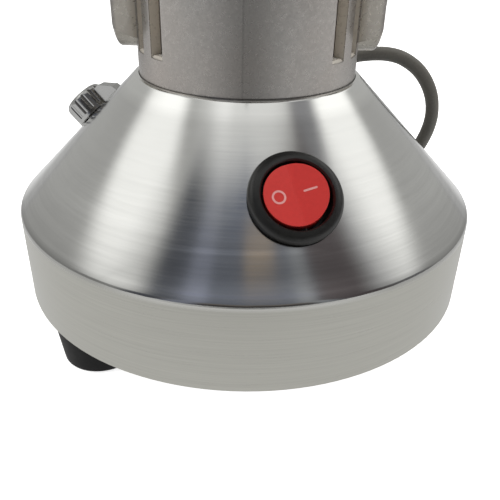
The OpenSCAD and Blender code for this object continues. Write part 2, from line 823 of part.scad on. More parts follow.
module timer_knob() {
    wing_w = 4;
    wing_edge = 1.6;
    wing_top = knob_h - knob_dome;
    flute_r = 0.9;
    color("gainsboro") in_timer() difference() {
        union() {
            difference() {
                translate([0, 0, knob_lift]) rotate_extrude() polygon(concat(
                    [[0, 0], [knob_r, 0]],
                    arc([knob_r - knob_dome, knob_h - knob_lift - knob_dome], knob_dome, 0, 90, 6),
                    [[0, knob_h - knob_lift]]));
                for (i = [0:knob_flutes - 1]) rotate([0, 0, 360 * (i + 0.5) / knob_flutes])
                    translate([knob_r + flute_r * 0.6, 0, knob_lift + 1])
                    cylinder(r = flute_r, h = knob_h, $fn = 16);
            }
            rotate([90, 0, 90]) linear_extrude(wing_w, center = true) polygon([
                [0, knob_lift], [pointer_reach, knob_lift], [pointer_reach - 0.4, knob_lift + wing_edge],
                [knob_r + wing_edge, wing_top], [0, wing_top]]);
        }
        cylinder(r = timer_nut_r + clear, h = timer_nut_h + clear);
        cylinder(r = timer_shaft_r + seat_gap, h = knob_h - knob_roof);
    }
}

// Mains lead
module cord_gland() {
    thread_l = shell_wall + 6;
    color("#333333") difference() {
        union() {
            difference() {
                on_cone(gland_turn, gland_circle) translate([0, 0, -2]) cylinder(r = gland_flange_r, h = 5);
                cone_body(seat_gap);
            }
            on_cone(gland_turn, gland_circle) {
                translate([0, 0, -thread_l]) cylinder(r = gland_thread_r, h = thread_l + 3);
                translate([0, 0, 0.5]) cylinder(r = gland_stem_r, h = gland_stem - 0.5);
            }
            translate(gland_elbow) sphere(r = gland_ball_r);
            translate(gland_elbow) rotate([0, 90, 0])
                cylinder(r1 = gland_stem_r, r2 = cord_r + 0.9, h = gland_relief);
        }
        on_cone(gland_turn, gland_circle) translate([0, 0, -thread_l - 1]) cylinder(r = cord_r, h = thread_l);
    }
}

module gland_nut() {
    color("gray") on_cone(gland_turn, gland_circle) translate([0, 0, -shell_wall - 4.6]) difference() {
        cylinder(r = gland_nut_r, h = 4, $fn = 6);
        translate([0, 0, -1]) cylinder(r = gland_thread_r + seat_gap, h = 6);
    }
}

module cord() {
    ahead = [cord_straight, 0, 0];
    route = concat([gland_tip + ahead], cord_route, [coil_points[0] + ahead]);
    path = concat([gland_tip], spline(route, cord_steps), [coil_points[0]]);
    color("dimgray") tube(path, cord_r, cord_sides, [0, 1, 0]);
}

module cord_coil() {
    color("dimgray") tube(coil_points, cord_r, coil_sides, [0, 0, 1]);
}

module cord_tie() {
    wall = 0.7;
    room = 0.3;
    width = 4;
    near = coil_radius(coil_sweep / 2) - cord_r - room;
    far = coil_radius(90) + cord_r + room;
    high = coil_layer + cord_d + 2 * room;
    color("black") translate([coil_at[0] - far, coil_at[1], coil_z - cord_r - room]) difference() {
        translate([-wall, -width / 2, -wall]) cube([far - near + 2 * wall, width, high + 2 * wall]);
        translate([0, -width, 0]) cube([far - near, 2 * width, high]);
    }
}

module plug_body() {
    color("#333333") translate(plug_start) rotate([0, 90, 0]) {
        cylinder(r1 = cord_r + 0.9, r2 = 5.5, h = plug_relief);
        translate([0, 0, plug_relief - 1]) intersection() {
            hull() for (y = [-1, 1]) translate([0, y * (plug_w / 2 - plug_r), 0])
                cylinder(r = plug_r, h = plug_l, $fn = 32);
            cylinder(r1 = plug_w / 2 - 3, r2 = plug_w / 2 + 4, h = plug_l);
        }
    }
}

module plug_pins() {
    pin = [6.3, 1.5, plug_pin_l];
    color("gold") for (y = [-1, 1])
        translate(plug_start + [plug_relief - 1 + plug_l, y * plug_pin_gap / 2 - pin[1] / 2, -pin[0] / 2])
            cube([pin[2], pin[1], pin[0]]);
}

// Rotor
module motor_shaft() {
    low = lower_bearing_z - 0.5;
    color("silver") {
        translate([0, 0, low]) cylinder(r = shaft_r, h = nut_z + nut_h - 2 - low);
        translate([0, 0, shoulder_z]) cylinder(r = shaft_r + 3, h = blade_z - shoulder_z);
    }
}

module armature_core() {
    mouth_w = 1.4;
    color("dimgray") translate([0, 0, stack_z]) linear_extrude(stack_h) difference() {
        circle(r = rotor_r);
        circle(r = shaft_r + seat_gap);
        for (i = [0:rotor_slots - 1]) rotate(360 * i / rotor_slots) {
            translate([slot_circle, 0]) circle(r = wire_r + 0.3, $fn = 24);
            translate([slot_circle, -mouth_w / 2]) square([rotor_r, mouth_w]);
        }
    }
}

module armature_windings() {
    rise = end_turn_h - 1;
    out_r = rotor_r - 1.3;
    in_r = shaft_r + 2;
    color("peru") {
        for (z = [stack_z - rise, stack_z + stack_h + slip]) translate([0, 0, z])
            rotate_extrude() polygon([[in_r, 0.6], [out_r - 1.5, 0], [out_r, 1.5], [out_r, rise - slip],
                                      [in_r, rise - slip]]);
        for (i = [0:rotor_slots - 1]) rotate([0, 0, 360 * i / rotor_slots])
            translate([slot_circle, 0, stack_z - 1]) cylinder(r = wire_r, h = stack_h + 2, $fn = 24);
    }
}

module commutator() {
    low = brush_z - comm_h / 2;
    bar_gap = 0.6;
    bar_cut = 0.8;
    collar_w = 1.5;
    bar_foot = 1;
    color("chocolate") translate([0, 0, low]) difference() {
        rotate_extrude() polygon([[shaft_r + seat_gap, 0], [comm_r, 0], [comm_r, comm_h],
            [comm_r + collar_w, comm_h], [comm_r + collar_w, comm_h + riser_h],
            [shaft_r + seat_gap, comm_h + riser_h]]);
        for (i = [0:comm_bars - 1]) rotate([0, 0, 360 * i / comm_bars])
            translate([comm_r - bar_cut, -bar_gap / 2, bar_foot]) cube([comm_r, bar_gap, comm_h + riser_h]);
    }
}

module cooling_fan() {
    web = 1.5;
    hub_r = shaft_r + 5;
    color("#444444") translate([0, 0, fan_z]) difference() {
        union() {
            cylinder(r = fan_r, h = web);
            cylinder(r = hub_r, h = fan_h);
            for (i = [0:fan_blades - 1]) rotate([0, 0, 360 * i / fan_blades])
                translate([hub_r - 1, -web / 2, 0]) cube([fan_r - hub_r + 0.4, web, fan_h]);
        }
        translate([0, 0, -1]) cylinder(r = shaft_r + seat_gap, h = fan_h + 2);
    }
}

// Two-armed blade: plan outline cut with a side view that turns up at the tip, leading edges ground
module blade(tip_tilt, tip_l) {
    skew = 3;
    hub_r = blade_root_w / 2 + 1;
    grind = 1.6;
    grind_start = 12;
    bend = blade_reach - tip_l;
    along = [cos(tip_tilt), sin(tip_tilt)];
    across = [-sin(tip_tilt), cos(tip_tilt)];
    tip = [bend, 0] + tip_l * along;
    plan = [[0, -blade_root_w / 2], [bend, -blade_tip_w / 2], [blade_reach + skew, -blade_tip_w / 2],
            [blade_reach - skew, blade_tip_w / 2], [bend, blade_tip_w / 2], [0, blade_root_w / 2]];
    side = [[0, 0], [bend, 0], tip, tip + blade_t * across, [bend - blade_t * tan(tip_tilt / 2), blade_t],
            [0, blade_t]];
    difference() {
        union() {
            cylinder(r = hub_r, h = blade_t);
            for (a = [0, 180]) rotate([0, 0, a]) difference() {
                intersection() {
                    linear_extrude(tip_l) polygon(plan);
                    rotate([90, 0, 0]) linear_extrude(2 * blade_root_w, center = true) polygon(side);
                }
                translate([0, -blade_root_w / 2, blade_t])
                    rotate([0, 0, atan2((blade_root_w - blade_tip_w) / 2, bend)]) rotate([45, 0, 0])
                    translate([grind_start, -grind / 2, -grind / 2])
                    cube([bend - grind_start - 2, grind, grind]);
            }
        }
        translate([0, 0, -1]) cylinder(r = shaft_r + seat_gap, h = blade_t + 2);
    }
}
module lower_blade() {
    color("lightgray") translate([0, 0, blade_z]) blade(12, lower_tip_l);
}
module upper_blade() {
    color("lightgray") translate([0, 0, upper_blade_z]) rotate([0, 0, 90]) blade(24, upper_tip_l);
}

module blade_spacer() {
    color("silver") translate([0, 0, blade_z + blade_t]) ring(shaft_r + 3, shaft_r + seat_gap, blade_gap);
}

module blade_nut() {
    across = 7.5;
    color("silver") translate([0, 0, nut_z]) difference() {
        union() {
            cylinder(r = across, h = nut_h - 3, $fn = 6);
            translate([0, 0, nut_h - 3]) intersection() {
                sphere(r = across * 0.84);
                cylinder(r = across, h = across);
            }
        }
        translate([0, 0, -1]) cylinder(r = shaft_r + seat_gap, h = nut_h - 1);
    }
}

// Lid and clamp
module lid_cover() {
    in_r = lid_r - lid_flat;
    color("lightsteelblue") translate([0, 0, lid_z]) rotate_extrude($fn = 128) polygon(concat(
        [[0, crown_h], [in_r - crown_h * 2, crown_h], [in_r, 0], [lid_r - 0.8, 0]],
        arc([lid_r - lid_t / 2, lid_t / 2], lid_t / 2, -60, 90, 5),
        [[in_r + 0.6, lid_t], [in_r - crown_h * 2 + 0.6, crown_h + lid_t], [0, crown_h + lid_t]]));
}

module lid_gasket() {
    color("white") translate([0, 0, rim_z + clear]) ring(lid_r - 1, lid_r - 7.5, gasket_h);
}

module lid_arm() {
    strap_w = knuckle_w - 2 * clear;
    strap_t = 2.4;
    top = lid_z + lid_t;
    color("silver") difference() {
        union() {
            translate([-strap_w / 2, lid_r - strap_lap, top + seat_gap])
                cube([strap_w, hinge_y - lid_r + strap_lap, strap_t]);
            translate([-knuckle_w / 2, hinge_y, hinge_z]) rotate([0, 90, 0])
                cylinder(r = knuckle_r, h = knuckle_w);
            translate([-strap_w / 2, hinge_y - 2, hinge_z]) cube([strap_w, 4, top + strap_t - hinge_z]);
        }
        translate([-knuckle_w, hinge_y, hinge_z]) rotate([0, 90, 0])
            cylinder(r = hinge_pin_r + run_gap, h = 2 * knuckle_w);
        translate([0, 0, rim_z - 10]) cylinder(r = rim_r + clear, h = 10 + clear, $fn = 128);
    }
}

module lid_fork() {
    width = fork_slot + 10;
    back = -lid_r + strap_lap;
    front = lock_y - bolt_r - 2.4;
    top = lid_z + lid_t + seat_gap;
    color("silver") translate([0, 0, top]) linear_extrude(fork_t) difference() {
        union() {
            translate([-width / 2, front + 3]) square([width, back - front - 3]);
            for (x = [-1, 1]) translate([x * (width / 2 - 2.5), front + 3]) circle(r = 2.5, $fn = 32);
        }
        translate([0, lock_y]) circle(r = fork_slot / 2);
        translate([-fork_slot / 2, front - 1]) square([fork_slot, lock_y - front + 1]);
    }
}

module lock_bolt() {
    color("silver") translate([0, lock_y, lock_z]) difference() {
        union() {
            translate([-eye_w / 2, 0, 0]) rotate([0, 90, 0]) cylinder(r = eye_r, h = eye_w);
            translate([0, 0, -bolt_l]) cylinder(r = bolt_r, h = bolt_l - 1);
        }
        translate([-eye_w, 0, 0]) rotate([0, 90, 0]) cylinder(r = lock_pin_r + run_gap, h = 2 * eye_w);
    }
}

module lock_knob() {
    flutes = 8;
    collar = 3;
    color("#222222") translate([0, lock_y, lock_z - knob_start]) mirror([0, 0, 1]) difference() {
        union() {
            cylinder(r = hand_knob_r * 0.7, h = collar);
            translate([0, 0, collar]) rotate_extrude() polygon(concat(
                [[0, 0], [hand_knob_r - 1, 0], [hand_knob_r, 1]],
                arc([hand_knob_r - 2, hand_knob_h - collar - 2], 2, 0, 90, 5), [[0, hand_knob_h - collar]]));
        }
        translate([0, 0, -1]) cylinder(r = bolt_r + run_gap, h = hand_knob_h - 1.5);
        for (i = [0:flutes - 1]) rotate([0, 0, 360 * i / flutes])
            translate([hand_knob_r + 1.2, 0, collar + 1]) cylinder(r = 2, h = hand_knob_h, $fn = 24);
    }
}

base_shell();
base_plate();
rubber_feet();
foot_screws();
motor_housing();
housing_screws();
stator_core();
field_windings();
lower_bracket();
lower_bearing();
brush_frame();
brush_holder_left();
brush_holder_right();
carbon_brush_left();
carbon_brush_right();
brush_spring_left();
brush_spring_right();
brush_cap_left();
brush_cap_right();
end_shield();
end_shield_screws();
upper_bearing();
shaft_seal();
bowl();
bowl_screws();
hinge_bracket();
hinge_pin();
lock_bracket();
lock_pin();
switch_gasket();
switch_body();
switch_terminals();
switch_rocker();
timer_body();
timer_nut();
timer_shaft();
timer_knob();
cord_gland();
gland_nut();
cord();
cord_coil();
cord_tie();
plug_body();
plug_pins();
motor_shaft();
armature_core();
armature_windings();
commutator();
cooling_fan();
lower_blade();
blade_spacer();
upper_blade();
blade_nut();
lid_cover();
lid_gasket();
lid_arm();
lid_fork();
lock_bolt();
lock_knob();
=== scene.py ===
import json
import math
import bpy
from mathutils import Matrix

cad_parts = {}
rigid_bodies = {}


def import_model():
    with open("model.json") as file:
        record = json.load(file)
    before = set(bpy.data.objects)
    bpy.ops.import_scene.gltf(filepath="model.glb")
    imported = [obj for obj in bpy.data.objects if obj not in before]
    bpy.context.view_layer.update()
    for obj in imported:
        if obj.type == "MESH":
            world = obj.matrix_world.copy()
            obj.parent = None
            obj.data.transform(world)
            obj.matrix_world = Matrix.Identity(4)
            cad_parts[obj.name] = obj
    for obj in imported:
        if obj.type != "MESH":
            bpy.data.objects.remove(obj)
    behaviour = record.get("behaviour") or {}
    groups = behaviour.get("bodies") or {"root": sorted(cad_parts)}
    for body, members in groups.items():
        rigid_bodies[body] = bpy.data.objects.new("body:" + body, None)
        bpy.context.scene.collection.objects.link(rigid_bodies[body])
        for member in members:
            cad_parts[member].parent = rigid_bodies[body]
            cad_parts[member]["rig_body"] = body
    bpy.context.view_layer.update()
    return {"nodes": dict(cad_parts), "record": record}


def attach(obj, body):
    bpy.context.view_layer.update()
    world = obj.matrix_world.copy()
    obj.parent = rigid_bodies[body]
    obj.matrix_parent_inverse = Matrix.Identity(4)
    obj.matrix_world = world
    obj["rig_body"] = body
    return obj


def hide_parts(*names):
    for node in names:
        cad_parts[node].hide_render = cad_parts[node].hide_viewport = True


bl_info = {
    "name": "Electric Coffee Grinder",
    "version": (1, 0, 0),
    "blender": (4, 5, 0),
    "location": "View3D > Sidebar > Grinder",
    "description": "Dresses the packed coffee grinder with finishes, lead, marks and a studio",
    "category": "Object",
}

import bmesh
import bpy
from bpy.props import FloatProperty, FloatVectorProperty, IntProperty, PointerProperty
from mathutils import Matrix, Vector

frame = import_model()

MM = 0.001
Z_AXIS = Vector((0.0, 0.0, 1.0))
UPRIGHT = (Vector((0.0, 0.0, 0.0)), Z_AXIS)

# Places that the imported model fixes, in millimetres and degrees
FOOT_H = 11.0
CONE_SUM = 90.0  # radius plus height above the feet, the same all over the cone
BAND_TOP = 35.0
NECK_R = 30.0
CONTROL_R = 48.7
BASE_TURN = 13.5
SWITCH_TURN = 8.0
ROCKER_TILT = 8.0
ROCKER_R = 7.4
ROCKER_AXIS = -0.8
ROCKER_TOP = 2.6

# Details of the finishes, with the heights of their painted highlights, and of the marks, in
# millimetres
LIP_HIGHLIGHT_Z = 65.2
CONE_LINE_Z = 43.5
SEAM_X = -1.1
MARK_O_X = -3.95
MARK_I_X = 3.45
MARK_UP = 0.3
MARK_PROUD = 0.04

# Camera, fitted to the photograph
CAMERA_AT = (0.0, -173.2, 110.33)
CAMERA_PITCH, CAMERA_YAW, CAMERA_ROLL = 0.5177, 0.0109, 0.0227
CAMERA_LENS, CAMERA_SENSOR = 43.65, 36.0

# Route of the lead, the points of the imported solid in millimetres
GLAND_TIP = (35.415, 52.764, 63.278)
CORD_ROUTE = [
    (41, 53, 63.8), (46, 53, 64.3), (51, 53, 64.2), (56, 53, 63), (61, 53, 60.2),
    (65, 53, 56.4), (68.2, 53, 51.4), (70, 53, 46), (70.4, 53, 40), (69.2, 53.4, 33.5),
    (66.6, 54.6, 26.6), (62.6, 57.2, 19.6), (57.4, 61.2, 13.4), (51, 66.4, 8.4),
    (43, 72.2, 5.2), (34, 77.4, 3.8), (24, 80.8, 3.5), (12, 82, 3.5),
]
CORD_STRAIGHT = 3.0
COIL_AT = (-14.0, 118.0)
COIL_IN_R = 19.1
COIL_PITCH = 5.6
COIL_Z = 3.5
COIL_LAYER = 5.5
COIL_SWEEP = 2340.0
COIL_END = 5.0

# Ribs of the strain reliefs: steps in millimetres, thickness as a share of the radius
RIB_STEP = 2.6
RIB_SHARE = 0.12
GLAND_RIBS_BACK = 19.0
PLUG_RIBS_AHEAD = 5.0


# Settings

class GrinderSizes(bpy.types.PropertyGroup):
    """Sizes of the dressed details."""

    cord_diameter: FloatProperty(
        name="Lead Diameter", description="Thickness of the mains lead", default=0.005,
        min=0.003, max=0.008, subtype="DISTANCE", unit="LENGTH")
    mark_height: FloatProperty(
        name="Mark Height", description="Outer size of the O and length of the I on the rocker",
        default=0.0033, min=0.002, max=0.005, subtype="DISTANCE", unit="LENGTH")
    mark_stroke: FloatProperty(
        name="Mark Stroke", description="Line width of the marks on the rocker", default=0.00048,
        min=0.0003, max=0.001, subtype="DISTANCE", unit="LENGTH")
    rib_count: IntProperty(
        name="Relief Ribs", description="Ribs around each strain relief", default=7, min=3, max=14)
    casting_edge: FloatProperty(
        name="Casting Edge", description="Rounding of the edges of the casting", default=0.00035,
        min=0.0001, max=0.001, subtype="DISTANCE", unit="LENGTH")


class GrinderColours(bpy.types.PropertyGroup):
    """Colours of the finishes."""

    polished: FloatVectorProperty(
        name="Polished Cone", description="Polished metal of the base", subtype="COLOR",
        size=3, default=(0.74, 0.74, 0.72), min=0, max=1)
    casting: FloatVectorProperty(
        name="Casting", description="Sand-blasted motor housing", subtype="COLOR",
        size=3, default=(0.40, 0.391, 0.375), min=0, max=1)
    rocker: FloatVectorProperty(
        name="Rocker", description="Red plastic of the rocker", subtype="COLOR",
        size=3, default=(0.56, 0.035, 0.03), min=0, max=1)
    mark: FloatVectorProperty(
        name="Switch Marks", description="Print of the O and the I", subtype="COLOR",
        size=3, default=(0.70, 0.32, 0.31), min=0, max=1)
    lead: FloatVectorProperty(
        name="Lead", description="Sheath of the mains lead", subtype="COLOR",
        size=3, default=(0.105, 0.10, 0.088), min=0, max=1)


# Node helpers

class Nodes:
    """A node tree that is filled by short calls."""

    def __init__(self, tree):
        self.tree = tree
        tree.nodes.clear()

    def add(self, kind, **props):
        node = self.tree.nodes.new(kind)
        for key, value in props.items():
            setattr(node, key, value)
        return node

    def link(self, a, b):
        self.tree.links.new(a, b)

    def put(self, value, socket):
        """Links a socket to another one, or sets it to a colour or a number."""
        if isinstance(value, bpy.types.NodeSocket):
            self.link(value, socket)
        elif isinstance(value, tuple):
            socket.default_value = (*value, 1.0)
        else:
            socket.default_value = value

    def math(self, operation, a, b=0.0):
        node = self.add("ShaderNodeMath", operation=operation)
        self.put(a, node.inputs[0])
        self.put(b, node.inputs[1])
        return node.outputs[0]

    def times(self, product, *factors):
        for factor in factors:
            product = self.math("MULTIPLY", product, factor)
        return product

    def off(self, value, middle):
        """How far a value lies from a middle, to either side."""
        return self.math("ABSOLUTE", self.math("SUBTRACT", value, middle))

    def split(self, vector):
        node = self.add("ShaderNodeSeparateXYZ")
        self.link(vector, node.inputs[0])
        return node.outputs

    def radius(self, x, y):
        return self.math("SQRT", self.math("ADD", self.times(x, x), self.times(y, y)))

    def ranged(self, value, ends, **props):
        node = self.add("ShaderNodeMapRange", clamp=True, **props)
        for index, number in enumerate(ends, 1):
            node.inputs[index].default_value = number
        self.link(value, node.inputs[0])
        return node.outputs[0]

    def span(self, value, low, high, to_low, to_high):
        """Straight change from one number to another over a stretch of the value."""
        return self.ranged(value, (low, high, to_low, to_high))

    def mm_span(self, value, low, high, to_low, to_high):
        """The same over a stretch in millimetres."""
        return self.span(value, low * MM, high * MM, to_low, to_high)

    def fade(self, value, zero, one):
        """Soft step from 0 to 1."""
        ends = (zero, one, 0.0, 1.0) if zero < one else (one, zero, 1.0, 0.0)
        return self.ranged(value, ends, interpolation_type="SMOOTHSTEP")

    def mix(self, amount, under, over, kind="RGBA", blend="MIX"):
        """Lays one colour or number over another."""
        node = self.add("ShaderNodeMix", data_type=kind, blend_type=blend)
        first, out = (6, 2) if kind == "RGBA" else (2, 0)
        self.put(amount, node.inputs[0])
        self.put(under, node.inputs[first])
        self.put(over, node.inputs[first + 1])
        return node.outputs[out]


class Finish(Nodes):
    """A material on one principled shader."""

    def __init__(self, name, colour, metallic, roughness):
        self.mat = bpy.data.materials.new(name)
        self.mat.use_nodes = True
        super().__init__(self.mat.node_tree)
        self.bsdf = self.add("ShaderNodeBsdfPrincipled")
        self.put(tuple(colour), self.bsdf.inputs["Base Color"])
        self.put(metallic, self.bsdf.inputs["Metallic"])
        self.put(roughness, self.bsdf.inputs["Roughness"])
        self.surface = self.add("ShaderNodeOutputMaterial").inputs["Surface"]
        self.link(self.bsdf.outputs["BSDF"], self.surface)
        self.coords = self.add("ShaderNodeTexCoord").outputs["Object"]
        self.mat.diffuse_color = (*colour, 1.0)

    def noise(self, scale, detail=2.0, roughness=0.5, vector=None):
        node = self.add("ShaderNodeTexNoise")
        node.inputs["Scale"].default_value = scale
        node.inputs["Detail"].default_value = detail
        node.inputs["Roughness"].default_value = roughness
        self.link(vector or self.coords, node.inputs["Vector"])
        return node.outputs["Fac"]

    def around(self, lines, along):
        """Streaks that run round the upright axis, as turning and brushing leave them."""
        x, y, z = self.split(self.coords)
        node = self.add("ShaderNodeCombineXYZ")
        self.link(self.times(self.radius(x, y), lines), node.inputs[0])
        self.link(self.times(z, lines), node.inputs[1])
        self.link(self.times(self.math("ARCTAN2", y, x), along), node.inputs[2])
        return node.outputs[0]

    def shades(self, fac, stops):
        node = self.add("ShaderNodeValToRGB")
        ramp = node.color_ramp
        while len(ramp.elements) < len(stops):
            ramp.elements.new(0.5)
        for element, (place, colour) in zip(ramp.elements, stops):
            element.position = place
            element.color = (*colour, 1.0)
        self.link(fac, node.inputs[0])
        return node.outputs[0]

    def colour(self, socket):
        self.link(socket, self.bsdf.inputs["Base Color"])

    def roughness(self, socket):
        self.link(socket, self.bsdf.inputs["Roughness"])

    def bump(self, height, strength, distance):
        node = self.add("ShaderNodeBump")
        node.inputs["Strength"].default_value = strength
        node.inputs["Distance"].default_value = distance
        self.link(height, node.inputs["Height"])
        self.link(node.outputs["Normal"], self.bsdf.inputs["Normal"])


def shaded(colour, factor):
    return tuple(min(1.0, c * factor) for c in colour)


# Finishes

def polished_shell():
    """Polished cone with faint turning lines above a satin band brushed along its length."""
    base = bpy.context.scene.grinder_colours.polished
    f = Finish("polished_shell", base, 1.0, 0.14)
    _, y, z = f.split(f.coords)
    band = f.mm_span(z, BAND_TOP + 0.2, BAND_TOP - 1.6, 0.0, 1.0)
    lines = f.noise(1.0, 3.0, 0.6, f.around(2600.0, 2.5))
    smear = f.noise(38.0, 3.0, 0.55)
    rough_cone = f.math("ADD", f.span(smear, 0.3, 0.75, 0.075, 0.15),
                        f.span(lines, 0.3, 0.8, 0.0, 0.06))
    rough_band = f.span(lines, 0.25, 0.8, 0.26, 0.42)
    f.roughness(f.mix(band, rough_cone, rough_band, "FLOAT"))

    # Tone of the cone: streaks round the axis that fade upwards, painted shade along its lower
    # edge, painted light near that edge (lighter in front, darker at the sides), a painted
    # highlight under the lip, one light line in front
    streak_noise = f.math("SUBTRACT", f.noise(1.0, 4.0, 0.65, f.around(620.0, 1.1)), 0.53)
    streaks = f.math("ADD", f.times(streak_noise, f.mm_span(z, 42.0, 60.0, 0.32, 0.05)), 1.0)
    # Painted shade: the cone darker in its lowest strip, next to the band
    edge = f.mm_span(z, BAND_TOP + 0.1, BAND_TOP + 1.4, 0.62, 1.0)
    # Painted light: just above the band the cone is lighter in front and darker at the sides
    painted_rim_light = f.mix(f.mm_span(y, -63.2, -56.5, 1.0, 0.0),
                  f.mm_span(z, BAND_TOP + 1.0, BAND_TOP + 11.0, 0.79, 1.0),
                  f.mm_span(z, BAND_TOP + 1.6, BAND_TOP + 4.6, 1.5, 1.0), "FLOAT")
    # Painted highlight: the top of the cone, under the lip, lighter
    lip_highlight = f.mm_span(z, LIP_HIGHLIGHT_Z, LIP_HIGHLIGHT_Z + 2.3, 1.0, 1.2)
    line = f.times(f.mm_span(f.off(z, CONE_LINE_Z * MM), 0.2, 0.8, 0.25, 0.0),
                   f.mm_span(y, -56.2, -54.6, 1.0, 0.0))
    tone_with_painted_light = f.times(streaks, edge, painted_rim_light, lip_highlight, f.math("ADD", line, 1.0))
    polish = f.shades(smear, [(0.3, shaded(base, 0.93)), (0.75, base)])
    cone = f.mix(1.0, polish, tone_with_painted_light, blend="MULTIPLY")

    satin = (base[0], base[1] * 0.99, base[2] * 0.93)
    strip = f.shades(lines, [(0.25, shaded(satin, 0.60)), (0.8, shaded(satin, 0.735))])
    f.colour(f.mix(band, cone, strip))
    f.bump(f.times(lines, f.span(band, 0.0, 1.0, 0.12, 1.0)), 0.25, 0.00006)
    return f.mat


def blasted_casting():
    """Sand-blasted column with its parting line, turned brush bosses with painted light and shade,
    and slots painted paler inside.
    """
    base = bpy.context.scene.grinder_colours.casting
    f = Finish("blasted_casting", base, 0.94, 0.30)
    f.bsdf.inputs["Specular IOR Level"].default_value = 0.4
    x, y, z = f.split(f.coords)
    radius = f.radius(x, y)
    rise = f.split(f.add("ShaderNodeNewGeometry").outputs["Normal"])[2]
    under_flare = f.mm_span(z, 108.0, 112.0, 1.0, 0.0)

    # Blasted face with warm clouds, specks and the parting line in front
    grain = f.noise(2400.0, 2.0, 0.65)
    pits = f.noise(900.0, 2.0, 0.5)
    warm = (base[0] * 1.03, base[1] * 0.965, base[2] * 0.93)
    clouds = f.shades(f.noise(28.0, 3.0, 0.5), [(0.34, base), (0.68, warm)])
    specks = f.shades(grain, [(0.3, (0.84, 0.84, 0.84)), (0.7, (1.0, 1.0, 1.0))])
    blasted = f.mix(1.0, clouds, specks, blend="MULTIPLY")
    seam = f.times(f.mm_span(f.off(x, SEAM_X * MM), 0.12, 0.34, 1.0, 0.0),
                   f.mm_span(y, -29.2, -28.4, 1.0, 0.0))
    blasted = f.mix(f.times(seam, 0.34), blasted, shaded(base, 0.45))

    # Bosses: all that stands out from the neck, up to the rim of their outer end; they are painted
    # lighter as painted light, and darker towards their top and bottom and on faces turned down as
    # painted shade
    boss = f.times(f.mm_span(radius, NECK_R + 0.08, NECK_R + 0.3, 0.0, 1.0), under_flare,
                   f.mm_span(f.math("ABSOLUTE", x), 33.4, 34.1, 1.0, 0.0))
    tone_with_painted_light = f.times(f.mm_span(z, 80.0, 87.0, 0.92, 1.0), f.mm_span(z, 89.0, 97.0, 1.0, 0.86),
                   f.span(rise, -0.55, -0.1, 0.76, 1.0))
    boss_painted_light = (base[0] * 1.545, base[1] * 1.5, base[2] * 1.41)
    outside = f.mix(boss, blasted, f.shades(tone_with_painted_light, [(0.0, (0.0, 0.0, 0.0)), (1.0, boss_painted_light)]))

    # Slots: the walls inside the neck's face painted pale and the sills that face up painted paler
    # still, both painted light against the shade in the slots
    inside = f.times(f.mm_span(radius, NECK_R - 0.3, NECK_R - 0.1, 1.0, 0.0), under_flare)
    sill = f.times(f.span(rise, 0.2, 0.6, 0.0, 1.0),
                   f.mm_span(radius, NECK_R - 1.6, NECK_R - 1.0, 1.0, 0.0))
    slots = f.shades(sill, [(0.0, (0.56, 0.525, 0.47)), (1.0, (0.68, 0.67, 0.645))])
    f.colour(f.mix(inside, outside, slots))

    metal = f.times(f.span(boss, 0.0, 1.0, 0.94, 0.6), f.span(inside, 0.0, 1.0, 1.0, 0.1))
    f.link(metal, f.bsdf.inputs["Metallic"])
    f.roughness(f.span(pits, 0.3, 0.7, 0.25, 0.36))
    relief = f.math("ADD", f.times(pits, 0.6), f.times(grain, 0.5))
    relief = f.math("ADD", relief, f.times(seam, 0.5))
    f.bump(f.times(relief, f.span(boss, 0.0, 1.0, 1.0, 0.2)), 0.06, 0.00012)
    return f.mat


def brushed(name, colour, rough, lines=2400.0, metallic=1.0):
    """Metal with fine lines round the upright axis."""
    f = Finish(name, colour, metallic, rough)
    streak = f.noise(1.0, 3.0, 0.6, f.around(lines, 2.0))
    cloud = f.noise(45.0, 2.0)
    f.colour(f.shades(streak, [(0.25, shaded(colour, 0.84)), (0.8, shaded(colour, 1.05))]))
    f.roughness(f.math("ADD", f.span(streak, 0.2, 0.8, rough - 0.06, rough + 0.08),
                       f.span(cloud, 0.3, 0.7, 0.0, 0.04)))
    f.bump(streak, 0.25, 0.00005)
    return f.mat


def grained(name, colour, metallic, rough, grain, spread, bump, coat=0.0, shine=0.5):
    """Even finish with grain in colour, gloss and relief, for castings, plastics and rubber."""
    f = Finish(name, colour, metallic, rough)
    fine = f.noise(grain, 2.0, 0.6)
    broad = f.noise(60.0, 3.0, 0.5)
    both = f.math("ADD", f.times(fine, 0.6), f.times(broad, 0.4))
    dim, light = shaded(colour, 1.0 - spread), shaded(colour, 1.0 + spread)
    f.colour(f.shades(both, [(0.32, dim), (0.68, light)]))
    f.roughness(f.span(both, 0.3, 0.7, max(0.03, rough - 0.05), rough + 0.07))
    f.bump(fine, bump, 0.00008)
    f.bsdf.inputs["Specular IOR Level"].default_value = shine
    if coat:
        f.bsdf.inputs["Coat Weight"].default_value = coat
        f.bsdf.inputs["Coat Roughness"].default_value = 0.12
    return f.mat


def wound(name, colour, lines):
    """Enamelled wire laid round the axis."""
    f = Finish(name, colour, 0.85, 0.32)
    turns = f.noise(1.0, 1.0, 0.4, f.around(lines, 1.0))
    # Painted shade: the grooves between the turns darker
    f.colour(f.shades(turns, [(0.35, shaded(colour, 0.5)), (0.6, colour)]))
    f.roughness(f.span(turns, 0.3, 0.7, 0.45, 0.26))
    f.bump(turns, 0.8, 0.0003)
    return f.mat


def stacked_plates():
    """Edges of stacked electrical steel under varnish."""
    f = Finish("stacked_plates", (0.17, 0.16, 0.15), 0.7, 0.45)
    wave = f.add("ShaderNodeTexWave", wave_type="BANDS", bands_direction="Z")
    wave.inputs["Scale"].default_value = 320.0
    wave.inputs["Distortion"].default_value = 0.6
    f.link(f.coords, wave.inputs["Vector"])
    edges = [(0.2, (0.10, 0.095, 0.09)), (0.8, (0.22, 0.21, 0.20))]
    f.colour(f.shades(wave.outputs["Fac"], edges))
    f.roughness(f.span(f.noise(300.0), 0.3, 0.7, 0.38, 0.55))
    f.bump(wave.outputs["Fac"], 0.4, 0.0002)
    return f.mat


FINISHES = {}


